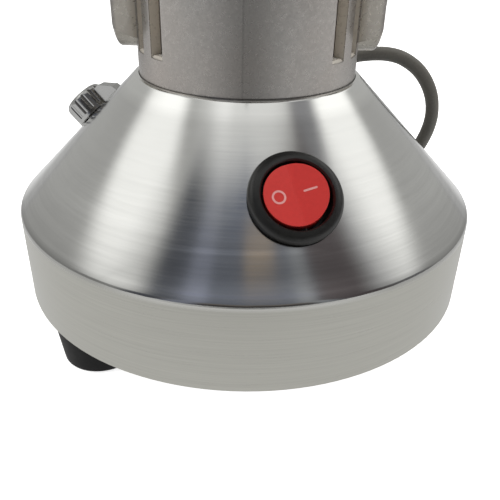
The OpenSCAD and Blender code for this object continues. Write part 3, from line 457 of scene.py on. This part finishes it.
def make_finishes():
    """Fills FINISHES: one for each slot of the record, the pressed brackets and the print."""
    colours = bpy.context.scene.grinder_colours
    FINISHES.update(
        polished_shell=polished_shell(),
        blasted_casting=blasted_casting(),
        stainless=brushed("stainless", (0.68, 0.68, 0.67), 0.24),
        bearing_steel=brushed("bearing_steel", (0.60, 0.60, 0.60), 0.18),
        lamination=stacked_plates(),
        copper_wire=wound("copper_wire", (0.50, 0.20, 0.07), 1600.0),
        commutator_copper=brushed("commutator_copper", (0.62, 0.30, 0.15), 0.25),
    )
    # Colour, metallic, roughness, grain, spread, bump, and for some the coat and the shine
    for name, row in {
            "plain_casting": ((0.50, 0.50, 0.49), 0.8, 0.5, 1500.0, 0.12, 0.3),
            "pressed_steel": ((0.56, 0.56, 0.55), 1.0, 0.30, 900.0, 0.06, 0.06),
            "plated_steel": ((0.66, 0.66, 0.65), 1.0, 0.24, 700.0, 0.06, 0.06),
            "brass": ((0.68, 0.50, 0.21), 1.0, 0.28, 500.0, 0.08, 0.08),
            "brown_phenolic": ((0.38, 0.325, 0.265), 0.0, 0.55, 420.0, 0.14, 0.2),
            "carbon": ((0.03, 0.03, 0.031), 0.0, 0.5, 900.0, 0.3, 0.3),
            "black_rubber": ((0.008, 0.008, 0.008), 0.0, 0.55, 800.0, 0.3, 0.22, 0.0, 0.2),
            "black_plastic": ((0.011, 0.011, 0.0105), 0.0, 0.30, 1500.0, 0.25, 0.10),
            "red_plastic": (colours.rocker, 0.0, 0.34, 1100.0, 0.05, 0.05, 0.25),
            "plug_plastic": ((0.030, 0.029, 0.028), 0.0, 0.42, 1300.0, 0.25, 0.15),
            "knob_metal": ((0.47, 0.47, 0.46), 1.0, 0.20, 700.0, 0.05, 0.03),
            "grey_flex": (colours.lead, 0.0, 0.46, 1600.0, 0.16, 0.12),
            "white_silicone": ((0.74, 0.74, 0.72), 0.0, 0.5, 300.0, 0.04, 0.08),
            "switch_print": (colours.mark, 0.0, 0.4, 2500.0, 0.08, 0.05)}.items():
        FINISHES[name] = grained(name, *row)


# Piece helpers

def link_piece(name, mesh, body, nodes=()):
    piece = bpy.data.objects.new(name, mesh)
    bpy.context.scene.collection.objects.link(piece)
    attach(piece, body)
    if nodes:
        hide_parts(*nodes)
    return piece


def body_of(node):
    return frame["nodes"][node]["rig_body"]


def slot_of(node):
    for row in frame["record"]["subparts"]:
        if row["node"] == node:
            return row["material_slot"]
    raise RuntimeError("no slot for " + node)


def applied(obj):
    """The object's evaluated shape as a plain mesh, and the helper object removed."""
    dg = bpy.context.evaluated_depsgraph_get()
    mesh = bpy.data.meshes.new_from_object(obj.evaluated_get(dg), depsgraph=dg)
    bpy.data.objects.remove(obj)
    return mesh


def turned_normals(mesh, origin, axis, limit):
    """Sweeps each face's slope round the axis, so that a turned face reflects without facets."""
    slopes, widths, corners = {}, {}, {}
    for poly in mesh.polygons:
        out = poly.center - origin
        out = out - axis * out.dot(axis)
        if out.length < 1e-6 or abs(poly.normal.dot(axis.cross(out.normalized()))) > 0.1:
            continue
        slope = Vector((poly.normal.dot(out.normalized()), poly.normal.dot(axis))).normalized()
        key = round(math.degrees(math.atan2(slope.y, slope.x))) % 360
        slopes[poly.index] = (key, slope)
        total = widths.setdefault(key, [0.0, Vector((0.0, 0.0))])
        total[0] += poly.area
        total[1] += slope * poly.area
    for index, (key, _) in slopes.items():
        near = [(key + step) % 360 for step in (-2, -1, 0, 1, 2)]
        best = max((widths[k] for k in near if k in widths), key=lambda w: w[0])[1].normalized()
        slopes[index] = best
        for vertex in mesh.polygons[index].vertices:
            corners.setdefault(vertex, []).append((best, mesh.polygons[index].area))
    normals = [Vector(n.vector) for n in mesh.corner_normals]
    alike = math.cos(math.radians(limit))
    for index, slope in slopes.items():
        for loop in mesh.polygons[index].loop_indices:
            vertex = mesh.loops[loop].vertex_index
            spoke = mesh.vertices[vertex].co - origin
            spoke = spoke - axis * spoke.dot(axis)
            if spoke.length > 1e-6:
                mean = sum((s * a for s, a in corners[vertex] if s.dot(slope) > alike),
                           Vector((0.0, 0.0)))
                mean.normalize()
                normals[loop] = spoke.normalized() * mean.x + axis * mean.y
    mesh.normals_split_custom_set(normals)


def dress(node, finish=None, angle=32.0, edge=0.0, axis=None):
    """Joined and smoothly shaded copy of a solid, with its finish, which stands for the solid."""
    mesh = bpy.data.meshes.new(node)
    bm = bmesh.new()
    bm.from_mesh(frame["nodes"][node].data)
    bmesh.ops.remove_doubles(bm, verts=bm.verts, dist=2e-6)
    bmesh.ops.dissolve_degenerate(bm, dist=1e-6, edges=bm.edges)
    if edge:
        bmesh.ops.dissolve_limit(bm, angle_limit=math.radians(0.4), verts=bm.verts, edges=bm.edges)
    bm.to_mesh(mesh)
    bm.free()
    for name in ("custom_normal", "sharp_face"):
        if name in mesh.attributes:
            mesh.attributes.remove(mesh.attributes[name])
    slot = slot_of(node)
    mesh.materials.clear()
    mesh.materials.append(finish or FINISHES[slot])
    mesh.polygons.foreach_set("material_index", [0] * len(mesh.polygons))
    mesh.shade_smooth()
    mesh.set_sharp_from_angle(angle=math.radians(angle))
    if axis:
        turned_normals(mesh, *axis, angle)
    else:
        holder = bpy.data.objects.new(node + "_raw", mesh)
        bpy.context.scene.collection.objects.link(holder)
        if edge:
            bevel = holder.modifiers.new("edge", "BEVEL")
            bevel.width = edge
            bevel.segments = 2
            bevel.limit_method = "ANGLE"
            bevel.angle_limit = math.radians(angle)
            bevel.harden_normals = False
            bevel.use_clamp_overlap = True
        weigh = holder.modifiers.new("weigh", "WEIGHTED_NORMAL")
        weigh.keep_sharp = True
        weigh.weight = 90
        mesh = applied(holder)
    return link_piece(node + "_finished", mesh, body_of(node), (node,))


def coat_node(node):
    """Keeps a hidden solid as it is and gives it its finish."""
    mesh = frame["nodes"][node].data
    mesh.materials.clear()
    mesh.materials.append(FINISHES[slot_of(node)])


def on_cone(turn, radius):
    """Frame on the cone: x to the right, y uphill, z out of the surface."""
    place = Matrix.Translation(Vector((0.0, -radius, FOOT_H + CONE_SUM - radius)) * MM)
    lean = Matrix.Rotation(math.radians(45.0), 4, "X")
    return Matrix.Rotation(math.radians(turn), 4, "Z") @ place @ lean


def mesh_of(name, build, finish):
    mesh = bpy.data.meshes.new(name)
    bm = bmesh.new()
    build(bm)
    bmesh.ops.recalc_face_normals(bm, faces=bm.faces)
    bm.to_mesh(mesh)
    bm.free()
    mesh.materials.append(finish)
    mesh.shade_smooth()
    mesh.set_sharp_from_angle(angle=math.radians(35.0))
    return mesh


# Rib row: rings along a taper, made by a node tree

def rib_tree():
    tree = bpy.data.node_groups.new("relief_ribs", "GeometryNodeTree")
    face = tree.interface
    sockets = {}
    for name, kind in (("Count", "Int"), ("Step", "Float"), ("First Radius", "Float"),
                       ("Last Radius", "Float"), ("Rib", "Float"), ("Finish", "Material")):
        socket = face.new_socket(name=name, in_out="INPUT", socket_type="NodeSocket" + kind)
        sockets[name] = socket.identifier
    face.new_socket(name="Geometry", in_out="OUTPUT", socket_type="NodeSocketGeometry")
    new, link = tree.nodes.new, tree.links.new
    given, out = new("NodeGroupInput"), new("NodeGroupOutput")
    row = new("GeometryNodeMeshLine")
    row.mode = "OFFSET"
    step = new("ShaderNodeCombineXYZ")
    link(given.outputs["Step"], step.inputs[0])
    link(given.outputs["Count"], row.inputs["Count"])
    link(step.outputs[0], row.inputs["Offset"])
    ring, section = new("GeometryNodeCurvePrimitiveCircle"), new("GeometryNodeCurvePrimitiveCircle")
    ring.inputs["Resolution"].default_value = 40
    ring.inputs["Radius"].default_value = 1.0
    section.inputs["Resolution"].default_value = 8
    link(given.outputs["Rib"], section.inputs["Radius"])
    tube = new("GeometryNodeCurveToMesh")
    link(ring.outputs[0], tube.inputs[0])
    link(section.outputs[0], tube.inputs[1])
    smooth = new("GeometryNodeSetShadeSmooth")
    link(tube.outputs[0], smooth.inputs[0])
    index = new("GeometryNodeInputIndex")
    last = new("ShaderNodeMath")
    last.operation = "SUBTRACT"
    last.inputs[1].default_value = 1.0
    link(given.outputs["Count"], last.inputs[0])
    size = new("ShaderNodeMapRange")
    link(index.outputs[0], size.inputs[0])
    link(last.outputs[0], size.inputs[2])
    link(given.outputs["First Radius"], size.inputs[3])
    link(given.outputs["Last Radius"], size.inputs[4])
    place = new("GeometryNodeInstanceOnPoints")
    place.inputs["Rotation"].default_value = (0.0, math.pi / 2.0, 0.0)
    link(row.outputs[0], place.inputs["Points"])
    link(smooth.outputs[0], place.inputs["Instance"])
    link(size.outputs[0], place.inputs["Scale"])
    real, paint = new("GeometryNodeRealizeInstances"), new("GeometryNodeSetMaterial")
    link(place.outputs[0], real.inputs[0])
    link(real.outputs[0], paint.inputs[0])
    link(given.outputs["Finish"], paint.inputs["Material"])
    link(paint.outputs[0], out.inputs[0])
    return tree, sockets


def rib_row(name, start, count, first, last, slot):
    """Ribs along +X from a start point, radii in millimetres."""
    tree, sockets = rib_tree()
    holder = bpy.data.objects.new(name + "_tree", bpy.data.meshes.new(name))
    bpy.context.scene.collection.objects.link(holder)
    ribs = holder.modifiers.new("ribs", "NODES")
    ribs.node_group = tree
    for key, value in (("Count", count), ("Step", RIB_STEP * MM), ("First Radius", first * MM),
                       ("Last Radius", last * MM), ("Rib", RIB_SHARE), ("Finish", FINISHES[slot])):
        ribs[sockets[key]] = value
    mesh = applied(holder)
    mesh.transform(Matrix.Translation(Vector(start) * MM))
    return link_piece(name, mesh, "base")


# Mains lead

def smooth_route(points, steps):
    """Catmull-Rom curve through the points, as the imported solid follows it."""
    pts = [Vector(p) for p in points]
    last = len(pts) - 1
    path = []
    for i in range(last):
        a, b = pts[max(i - 1, 0)], pts[i]
        c, d = pts[i + 1], pts[min(i + 2, last)]
        for k in range(steps):
            t = k / steps
            path.append(0.5 * (2 * b + (c - a) * t + (2 * a - 5 * b + 4 * c - d) * t * t
                               + (3 * b - a - 3 * c + d) * t * t * t))
    return path + [pts[last]]


def coil_point(s):
    """Point of the coil after a sweep of s degrees: inwards below, then outwards on top."""
    radius = COIL_IN_R + (abs(s - COIL_SWEEP / 2) - 90.0) / 360.0 * COIL_PITCH
    angle = math.radians(-90.0 - s)
    t = min(max((s - COIL_SWEEP / 2 + 90.0) / 180.0, 0.0), 1.0)
    climb = COIL_LAYER * t * t * (3.0 - 2.0 * t)
    return Vector((COIL_AT[0] + radius * math.cos(angle),
                   COIL_AT[1] + radius * math.sin(angle), COIL_Z + climb))


def lead_path():
    """The whole lead from the gland to the plug, in millimetres."""
    rings = int(COIL_SWEEP / 5.0)
    coil = [coil_point(COIL_SWEEP * i / rings) for i in range(rings + 1)]
    end = Vector((COIL_END, 0.0, 0.0))
    straight = Vector((CORD_STRAIGHT, 0.0, 0.0))
    tip = Vector(GLAND_TIP)
    start = coil[0] + end
    free = smooth_route([tip + straight, *CORD_ROUTE, start + straight], 6)
    return [tip, *free, start, *coil, coil[-1] + end]


# Operators

class GRINDER_OT_stage(bpy.types.Operator):
    """Camera at the photograph's angle, pale floor and soft studio light"""

    bl_idname = "grinder.stage"
    bl_label = "Studio"

    def execute(self, context):
        scene = context.scene
        scene.view_settings.view_transform = "Standard"
        self.camera(scene)
        self.world(scene)
        self.floor(scene)
        self.lamps(scene)
        return {"FINISHED"}

    def camera(self, scene):
        level = math.cos(CAMERA_PITCH)
        look = Vector((math.sin(CAMERA_YAW) * level, math.cos(CAMERA_YAW) * level,
                       -math.sin(CAMERA_PITCH)))
        right = Vector((math.cos(CAMERA_YAW), -math.sin(CAMERA_YAW), 0.0))
        up = right.cross(look)
        rolled_right = math.cos(CAMERA_ROLL) * right + math.sin(CAMERA_ROLL) * up
        rolled_up = -math.sin(CAMERA_ROLL) * right + math.cos(CAMERA_ROLL) * up
        data = bpy.data.cameras.new("photo_camera")
        data.lens = CAMERA_LENS
        data.sensor_width = CAMERA_SENSOR
        data.clip_start = 0.005
        data.clip_end = 50.0
        cam = bpy.data.objects.new("photo_camera", data)
        turn = Matrix((rolled_right, rolled_up, -look)).transposed().to_4x4()
        cam.matrix_world = Matrix.Translation(Vector(CAMERA_AT) * MM) @ turn
        scene.collection.objects.link(cam)
        scene.camera = cam

    def world(self, scene):
        """White for the camera; for reflections a room with two soft boxes and a dim front."""
        world = bpy.data.worlds.new("studio")
        world.use_nodes = True
        w = Nodes(world.node_tree)
        x, y, height = w.split(w.add("ShaderNodeTexCoord").outputs["Generated"])
        side = w.math("ARCTAN2", x, w.times(y, -1.0))

        def beside(middle, zero, one):
            """Soft step by the distance in degrees from a direction of the compass."""
            away = w.off(side, math.radians(middle))
            return w.fade(away, math.radians(zero), math.radians(one))

        tilted = w.math("ADD", height, w.times(x, 0.037))
        leaning = w.math("ADD", height, w.times(w.math("ABSOLUTE", x), 0.12))
        right_half = w.fade(side, math.radians(38.0), math.radians(50.0))
        gap = w.times(beside(82.0, 20.0, 6.0), w.fade(height, 0.92, 0.86))
        patch = w.times(beside(-50.0, 30.0, 8.0), w.fade(height, 0.90, 0.945))
        boxes = w.times(beside(7.0, 60.0, 90.0), beside(7.0, 152.0, 110.0),
                        w.fade(tilted, 0.43, 0.55), w.fade(tilted, 0.83, 0.76))
        warm = w.times(beside(12.0, 15.0, 8.0), w.fade(height, 0.90, 0.87),
                       w.fade(height, 0.828, 0.858))
        front = w.times(beside(7.0, 72.0, 58.0), w.fade(leaning, 0.954, 0.898))

        # Dim front, from the floor up, then its flanks and three streaks
        shade = (0.05, 0.047, 0.045)
        for colour, amount in (((0.17, 0.155, 0.14), w.fade(height, 0.35, 0.7)),
                               ((0.12, 0.13, 0.155), w.fade(height, 0.64, 0.76)),
                               ((0.092, 0.112, 0.166), w.fade(height, 0.87, 0.895)),
                               ((0.081, 0.086, 0.101), beside(0.0, 34.0, 48.0)),
                               ((0.10, 0.087, 0.09), right_half),
                               ((0.208, 0.222, 0.275), beside(-30.0, 11.0, 3.0)),
                               ((0.25, 0.26, 0.275), beside(38.5, 8.0, 2.0)),
                               ((0.34, 0.27, 0.20), warm)):
            shade = w.mix(amount, shade, colour)
        # Room: walls, ceiling, a light patch on the left, a dark gap on the right, boxes, front
        room = (0.44, 0.44, 0.43)
        for colour, amount in (((0.78, 0.78, 0.77), w.fade(height, 0.84, 0.95)),
                               ((0.95, 0.95, 0.94), patch), ((0.24, 0.24, 0.25), gap),
                               ((1.2, 1.2, 1.18), boxes), (shade, front)):
            room = w.mix(amount, room, colour)

        reflected, white, fill = (w.add("ShaderNodeBackground") for _ in range(3))
        w.link(room, reflected.inputs["Color"])
        w.put((1.0, 1.0, 1.0), white.inputs["Color"])
        w.put((1.0, 0.995, 0.985), fill.inputs["Color"])
        w.put(0.30, fill.inputs["Strength"])
        path = w.add("ShaderNodeLightPath").outputs
        glossy = w.math("MAXIMUM", path["Is Glossy Ray"], path["Is Transmission Ray"])
        shine, seen = w.add("ShaderNodeMixShader"), w.add("ShaderNodeMixShader")
        for node, inputs in ((shine, (glossy, fill.outputs[0], reflected.outputs[0])),
                             (seen, (path["Is Camera Ray"], shine.outputs[0], white.outputs[0]))):
            for index, socket in enumerate(inputs):
                w.link(socket, node.inputs[index])
        w.link(seen.outputs[0], w.add("ShaderNodeOutputWorld").inputs["Surface"])
        scene.world = world

    def floor(self, scene):
        """Pale floor; in reflections it turns black and glows instead, painted light that is dimmer
        in front and behind and a little lighter at the sides.
        """
        mesh = bpy.data.meshes.new("studio_floor")
        bm = bmesh.new()
        bmesh.ops.create_grid(bm, x_segments=1, y_segments=1, size=6.0)
        bm.to_mesh(mesh)
        bm.free()
        pale = (0.86, 0.86, 0.85)
        f = Finish("pale_floor", pale, 0.0, 0.75)
        path = f.add("ShaderNodeLightPath").outputs
        glossy = path["Is Glossy Ray"]
        # In reflections the floor's own colour is black, and its look there is painted glow
        f.colour(f.shades(glossy, [(0.0, pale), (1.0, (0.0, 0.0, 0.0))]))
        x, y, _ = f.split(f.coords)
        side = f.math("ABSOLUTE", f.math("ARCTAN2", x, f.times(y, -1.0)))
        reach = f.radius(x, y)

        def turning(low, high, to_low, to_high):
            return f.span(side, math.radians(low), math.radians(high), to_low, to_high)

        far = f.span(reach, 1.0, 1.4, 1.0, 0.0)
        front = f.times(f.span(reach, 0.125, 0.16, 0.0, 1.0), far, turning(2.0, 44.0, 1.0, 0.0))
        sides = f.times(f.span(reach, 0.25, 0.5, 0.0, 1.0), far, turning(50.0, 90.0, 0.0, 0.26))
        behind = f.times(f.span(reach, 0.2, 0.4, 0.0, 1.0), turning(105.0, 130.0, 0.0, 1.0))
        # Painted light: glow that reflections see, dimmer in front and behind, lighter at the sides
        painted_glow = f.times(f.math("ADD", f.span(front, 0.0, 1.0, 0.79, 0.25), sides),
                           f.span(behind, 0.0, 1.0, 1.0, 0.42))
        glow = f.add("ShaderNodeEmission")
        f.put((1.0, 1.0, 1.0), glow.inputs["Color"])
        seen = f.times(path["Is Camera Ray"], 0.8)
        f.link(f.math("ADD", seen, f.times(painted_glow, glossy)), glow.inputs["Strength"])
        both = f.add("ShaderNodeAddShader")
        f.link(f.bsdf.outputs[0], both.inputs[0])
        f.link(glow.outputs[0], both.inputs[1])
        f.link(both.outputs[0], f.surface)
        mesh.materials.append(f.mat)
        floor = bpy.data.objects.new("studio_floor", mesh)
        floor.location.z = -0.0002
        scene.collection.objects.link(floor)

    def lamps(self, scene):
        for name, place, aim, size, power in (
                ("left_box", (-0.62, -0.16, 0.50), (0.0, 0.0, 0.08), (0.30, 0.60), 3.4),
                ("right_box", (0.62, -0.10, 0.50), (0.0, 0.0, 0.08), (0.30, 0.60), 3.4),
                ("top_box", (0.0, 0.35, 0.95), (0.0, 0.0, 0.1), (0.9, 0.6), 4.0)):
            data = bpy.data.lights.new(name, "AREA")
            data.shape = "RECTANGLE"
            data.size, data.size_y = size
            data.energy = power
            data.color = (1.0, 0.99, 0.97)
            lamp = bpy.data.objects.new(name, data)
            lamp.location = place
            lamp.rotation_mode = "QUATERNION"
            lamp.rotation_quaternion = (Vector(aim) - Vector(place)).to_track_quat("-Z", "Y")
            lamp.visible_glossy = False
            scene.collection.objects.link(lamp)


class GRINDER_OT_lead(bpy.types.Operator):
    """Mains lead with its gland, coil, tie and plug"""

    bl_idname = "grinder.lead"
    bl_label = "Mains Lead"

    def execute(self, context):
        sizes = context.scene.grinder_sizes
        path = [p * MM for p in lead_path()]
        curve = bpy.data.curves.new("mains_lead", "CURVE")
        curve.dimensions = "3D"
        curve.bevel_depth = sizes.cord_diameter / 2
        curve.bevel_resolution = 4
        curve.use_fill_caps = True
        spline = curve.splines.new("POLY")
        spline.points.add(len(path) - 1)
        for point, place in zip(spline.points, path):
            point.co = (*place, 1.0)
        spline.use_smooth = True
        curve.materials.append(FINISHES["grey_flex"])
        lead = bpy.data.objects.new("mains_lead", curve)
        context.scene.collection.objects.link(lead)
        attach(lead, "base")
        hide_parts("cord", "cord_coil")

        dress("cord_gland", angle=50.0)
        gland_x = GLAND_TIP[0] - GLAND_RIBS_BACK
        rib_row("gland_ribs", (gland_x, *GLAND_TIP[1:]), sizes.rib_count, 5.05, 3.6,
                "black_rubber")
        tie = dress("cord_tie", edge=0.0003)
        plug = dress("plug_body", angle=40.0, edge=0.0008)
        pins = dress("plug_pins", edge=0.0004)
        end = path[-1] / MM
        ribs = rib_row("plug_ribs", (end.x + PLUG_RIBS_AHEAD, end.y, end.z), sizes.rib_count,
                       3.75, 4.75, "plug_plastic")
        return {"FINISHED"}


class GRINDER_OT_base(bpy.types.Operator):
    """Weighted base with its plate, feet and screws"""

    bl_idname = "grinder.base"
    bl_label = "Base"

    def execute(self, context):
        dress("base_shell", axis=UPRIGHT)
        dress("base_plate", axis=UPRIGHT)
        dress("rubber_feet", angle=40.0)
        dress("foot_screws")
        return {"FINISHED"}


class GRINDER_OT_column(bpy.types.Operator):
    """Cast motor housing with its brush caps and end shield"""

    bl_idname = "grinder.column"
    bl_label = "Motor Column"

    def execute(self, context):
        dress("motor_housing", angle=30.0, edge=context.scene.grinder_sizes.casting_edge)
        dress("end_shield", angle=30.0)
        for side in ("left", "right"):
            dress("brush_cap_" + side, edge=0.0002)
        return {"FINISHED"}


class GRINDER_OT_motor(bpy.types.Operator):
    """Hidden motor pieces, seen a little through the slots"""

    bl_idname = "grinder.motor"
    bl_label = "Motor"

    def execute(self, context):
        for node in ("housing_screws", "stator_core", "field_windings", "lower_bracket",
                     "lower_bearing", "brush_frame", "brush_holder_left", "brush_holder_right",
                     "carbon_brush_left", "carbon_brush_right", "brush_spring_left",
                     "brush_spring_right", "end_shield_screws", "upper_bearing", "armature_core",
                     "armature_windings", "commutator", "cooling_fan", "switch_terminals",
                     "timer_body", "timer_nut", "timer_shaft", "gland_nut"):
            coat_node(node)
        return {"FINISHED"}


class GRINDER_OT_switch(bpy.types.Operator):
    """Round rocker switch with its O and I"""

    bl_idname = "grinder.switch"
    bl_label = "Rocker Switch"

    def execute(self, context):
        spin = Matrix.Rotation(math.radians(SWITCH_TURN), 4, "Z")
        place = on_cone(BASE_TURN, CONTROL_R) @ spin
        normal = (place.to_3x3() @ Z_AXIS).normalized()
        dress("switch_gasket", angle=40.0)
        dress("switch_body", axis=(place.translation, normal))
        rocker = dress("switch_rocker", angle=25.0, edge=0.0005).data
        # The rocker's ends beyond its rim get black plastic: painted shade, so that they read as
        # the dark gap round the rocker
        rocker.materials.append(FINISHES["black_plastic"])
        inside = (place @ self.tilt()).inverted()
        for poly in rocker.polygons:
            on_end = abs((inside @ poly.center).y) > (ROCKER_R + 0.05) * MM
            poly.material_index = int(on_end)
        self.marks(context.scene.grinder_sizes, place)
        return {"FINISHED"}

    def tilt(self):
        axis = Matrix.Translation((0.0, 0.0, ROCKER_AXIS * MM))
        return axis @ Matrix.Rotation(math.radians(-ROCKER_TILT), 4, "Y")

    def marks(self, sizes, place):
        """The O and the I, each flat on its half of the rocker."""
        slope = math.tan(math.radians(ROCKER_TILT))
        for name, x, build in (("mark_o", MARK_O_X, self.ring(sizes)),
                               ("mark_i", MARK_I_X, self.bar(sizes))):
            z = ROCKER_TOP + (ROCKER_R + abs(x)) * slope
            lean = math.radians(-math.copysign(ROCKER_TILT, x))
            seat = Matrix.Translation(Vector((x, MARK_UP, z)) * MM)
            mesh = mesh_of(name, build, FINISHES["switch_print"])
            mesh.transform(place @ self.tilt() @ seat @ Matrix.Rotation(lean, 4, "Y"))
            link_piece(name, mesh, "rocker")

    def ring(self, sizes):
        def build(bm):
            count, proud = 40, MARK_PROUD * MM
            outer = sizes.mark_height / 2
            inner = outer - sizes.mark_stroke
            turns = [2 * math.pi * k / count for k in range(count)]
            rows = []
            for radius, z in ((inner, -proud), (inner, proud), (outer, proud), (outer, -proud)):
                rows.append([bm.verts.new((radius * math.cos(a), radius * math.sin(a), z))
                             for a in turns])
            for a, b in zip(rows, rows[1:] + rows[:1]):
                for k in range(count):
                    n = (k + 1) % count
                    bm.faces.new((a[k], b[k], b[n], a[n]))
        return build

    def bar(self, sizes):
        def build(bm):
            steps, proud = 8, MARK_PROUD * MM
            half, end = sizes.mark_stroke / 2, (sizes.mark_height - sizes.mark_stroke) / 2
            outline = []
            for centre, first in ((end, -90.0), (-end, 90.0)):
                for k in range(steps + 1):
                    a = math.radians(first + 180.0 * k / steps)
                    outline.append((centre + half * math.cos(a), half * math.sin(a)))
            low = [bm.verts.new((x, y, -proud)) for x, y in outline]
            top = [bm.verts.new((x, y, proud)) for x, y in outline]
            bm.faces.new(top)
            bm.faces.new(low[::-1])
            for k in range(len(outline)):
                n = (k + 1) % len(outline)
                bm.faces.new((low[k], low[n], top[n], top[k]))
        return build


class GRINDER_OT_timer(bpy.types.Operator):
    """Timer knob with its pointer"""

    bl_idname = "grinder.timer"
    bl_label = "Timer Knob"

    def execute(self, context):
        dress("timer_knob", angle=30.0, edge=0.0003)
        return {"FINISHED"}


class GRINDER_OT_bowl(bpy.types.Operator):
    """Steel bowl with its blades"""

    bl_idname = "grinder.bowl"
    bl_label = "Bowl and Blades"

    def execute(self, context):
        dress("bowl", axis=UPRIGHT)
        for node in ("bowl_screws", "shaft_seal", "motor_shaft", "blade_spacer", "blade_nut"):
            dress(node, angle=35.0)
        for node in ("lower_blade", "upper_blade"):
            dress(node, angle=20.0, edge=0.00015)
        return {"FINISHED"}


class GRINDER_OT_lid(bpy.types.Operator):
    """Lid with its gasket, hinge and swing-bolt clamp"""

    bl_idname = "grinder.lid"
    bl_label = "Lid and Clamp"

    def execute(self, context):
        dress("lid_cover", angle=12.0, axis=UPRIGHT)
        dress("lid_gasket", axis=UPRIGHT)
        for node in ("lid_arm", "lid_fork", "hinge_bracket", "lock_bracket"):
            dress(node, FINISHES["pressed_steel"], angle=35.0, edge=0.0005)
        for node in ("hinge_pin", "lock_pin", "lock_bolt", "lock_knob"):
            piece = dress(node, angle=35.0, edge=0.0003)
            # The photo's cone mirrors no dark knob
            piece.visible_glossy = node != "lock_knob"
        return {"FINISHED"}


class GRINDER_PT_panel(bpy.types.Panel):
    """Sidebar panel with the grinder's settings and steps"""

    bl_idname = "GRINDER_PT_panel"
    bl_label = "Coffee Grinder"
    bl_space_type = "VIEW_3D"
    bl_region_type = "UI"
    bl_category = "Grinder"

    def draw(self, context):
        for group in (context.scene.grinder_sizes, context.scene.grinder_colours):
            for key in group.__annotations__:
                self.layout.prop(group, key)
        for step in STEPS:
            self.layout.operator(step.bl_idname)


STEPS = (GRINDER_OT_stage, GRINDER_OT_lead, GRINDER_OT_base, GRINDER_OT_column, GRINDER_OT_motor,
         GRINDER_OT_switch, GRINDER_OT_timer, GRINDER_OT_bowl, GRINDER_OT_lid)
CLASSES = (GrinderSizes, GrinderColours, *STEPS, GRINDER_PT_panel)


def register():
    for cls in CLASSES:
        bpy.utils.register_class(cls)
    bpy.types.Scene.grinder_sizes = PointerProperty(type=GrinderSizes)
    bpy.types.Scene.grinder_colours = PointerProperty(type=GrinderColours)


def unregister():
    del bpy.types.Scene.grinder_colours
    del bpy.types.Scene.grinder_sizes
    for cls in reversed(CLASSES):
        bpy.utils.unregister_class(cls)


def main():
    register()
    make_finishes()
    for step in STEPS:
        family, name = step.bl_idname.split(".")
        getattr(getattr(bpy.ops, family), name)()


if __name__ == "__main__":
    main()
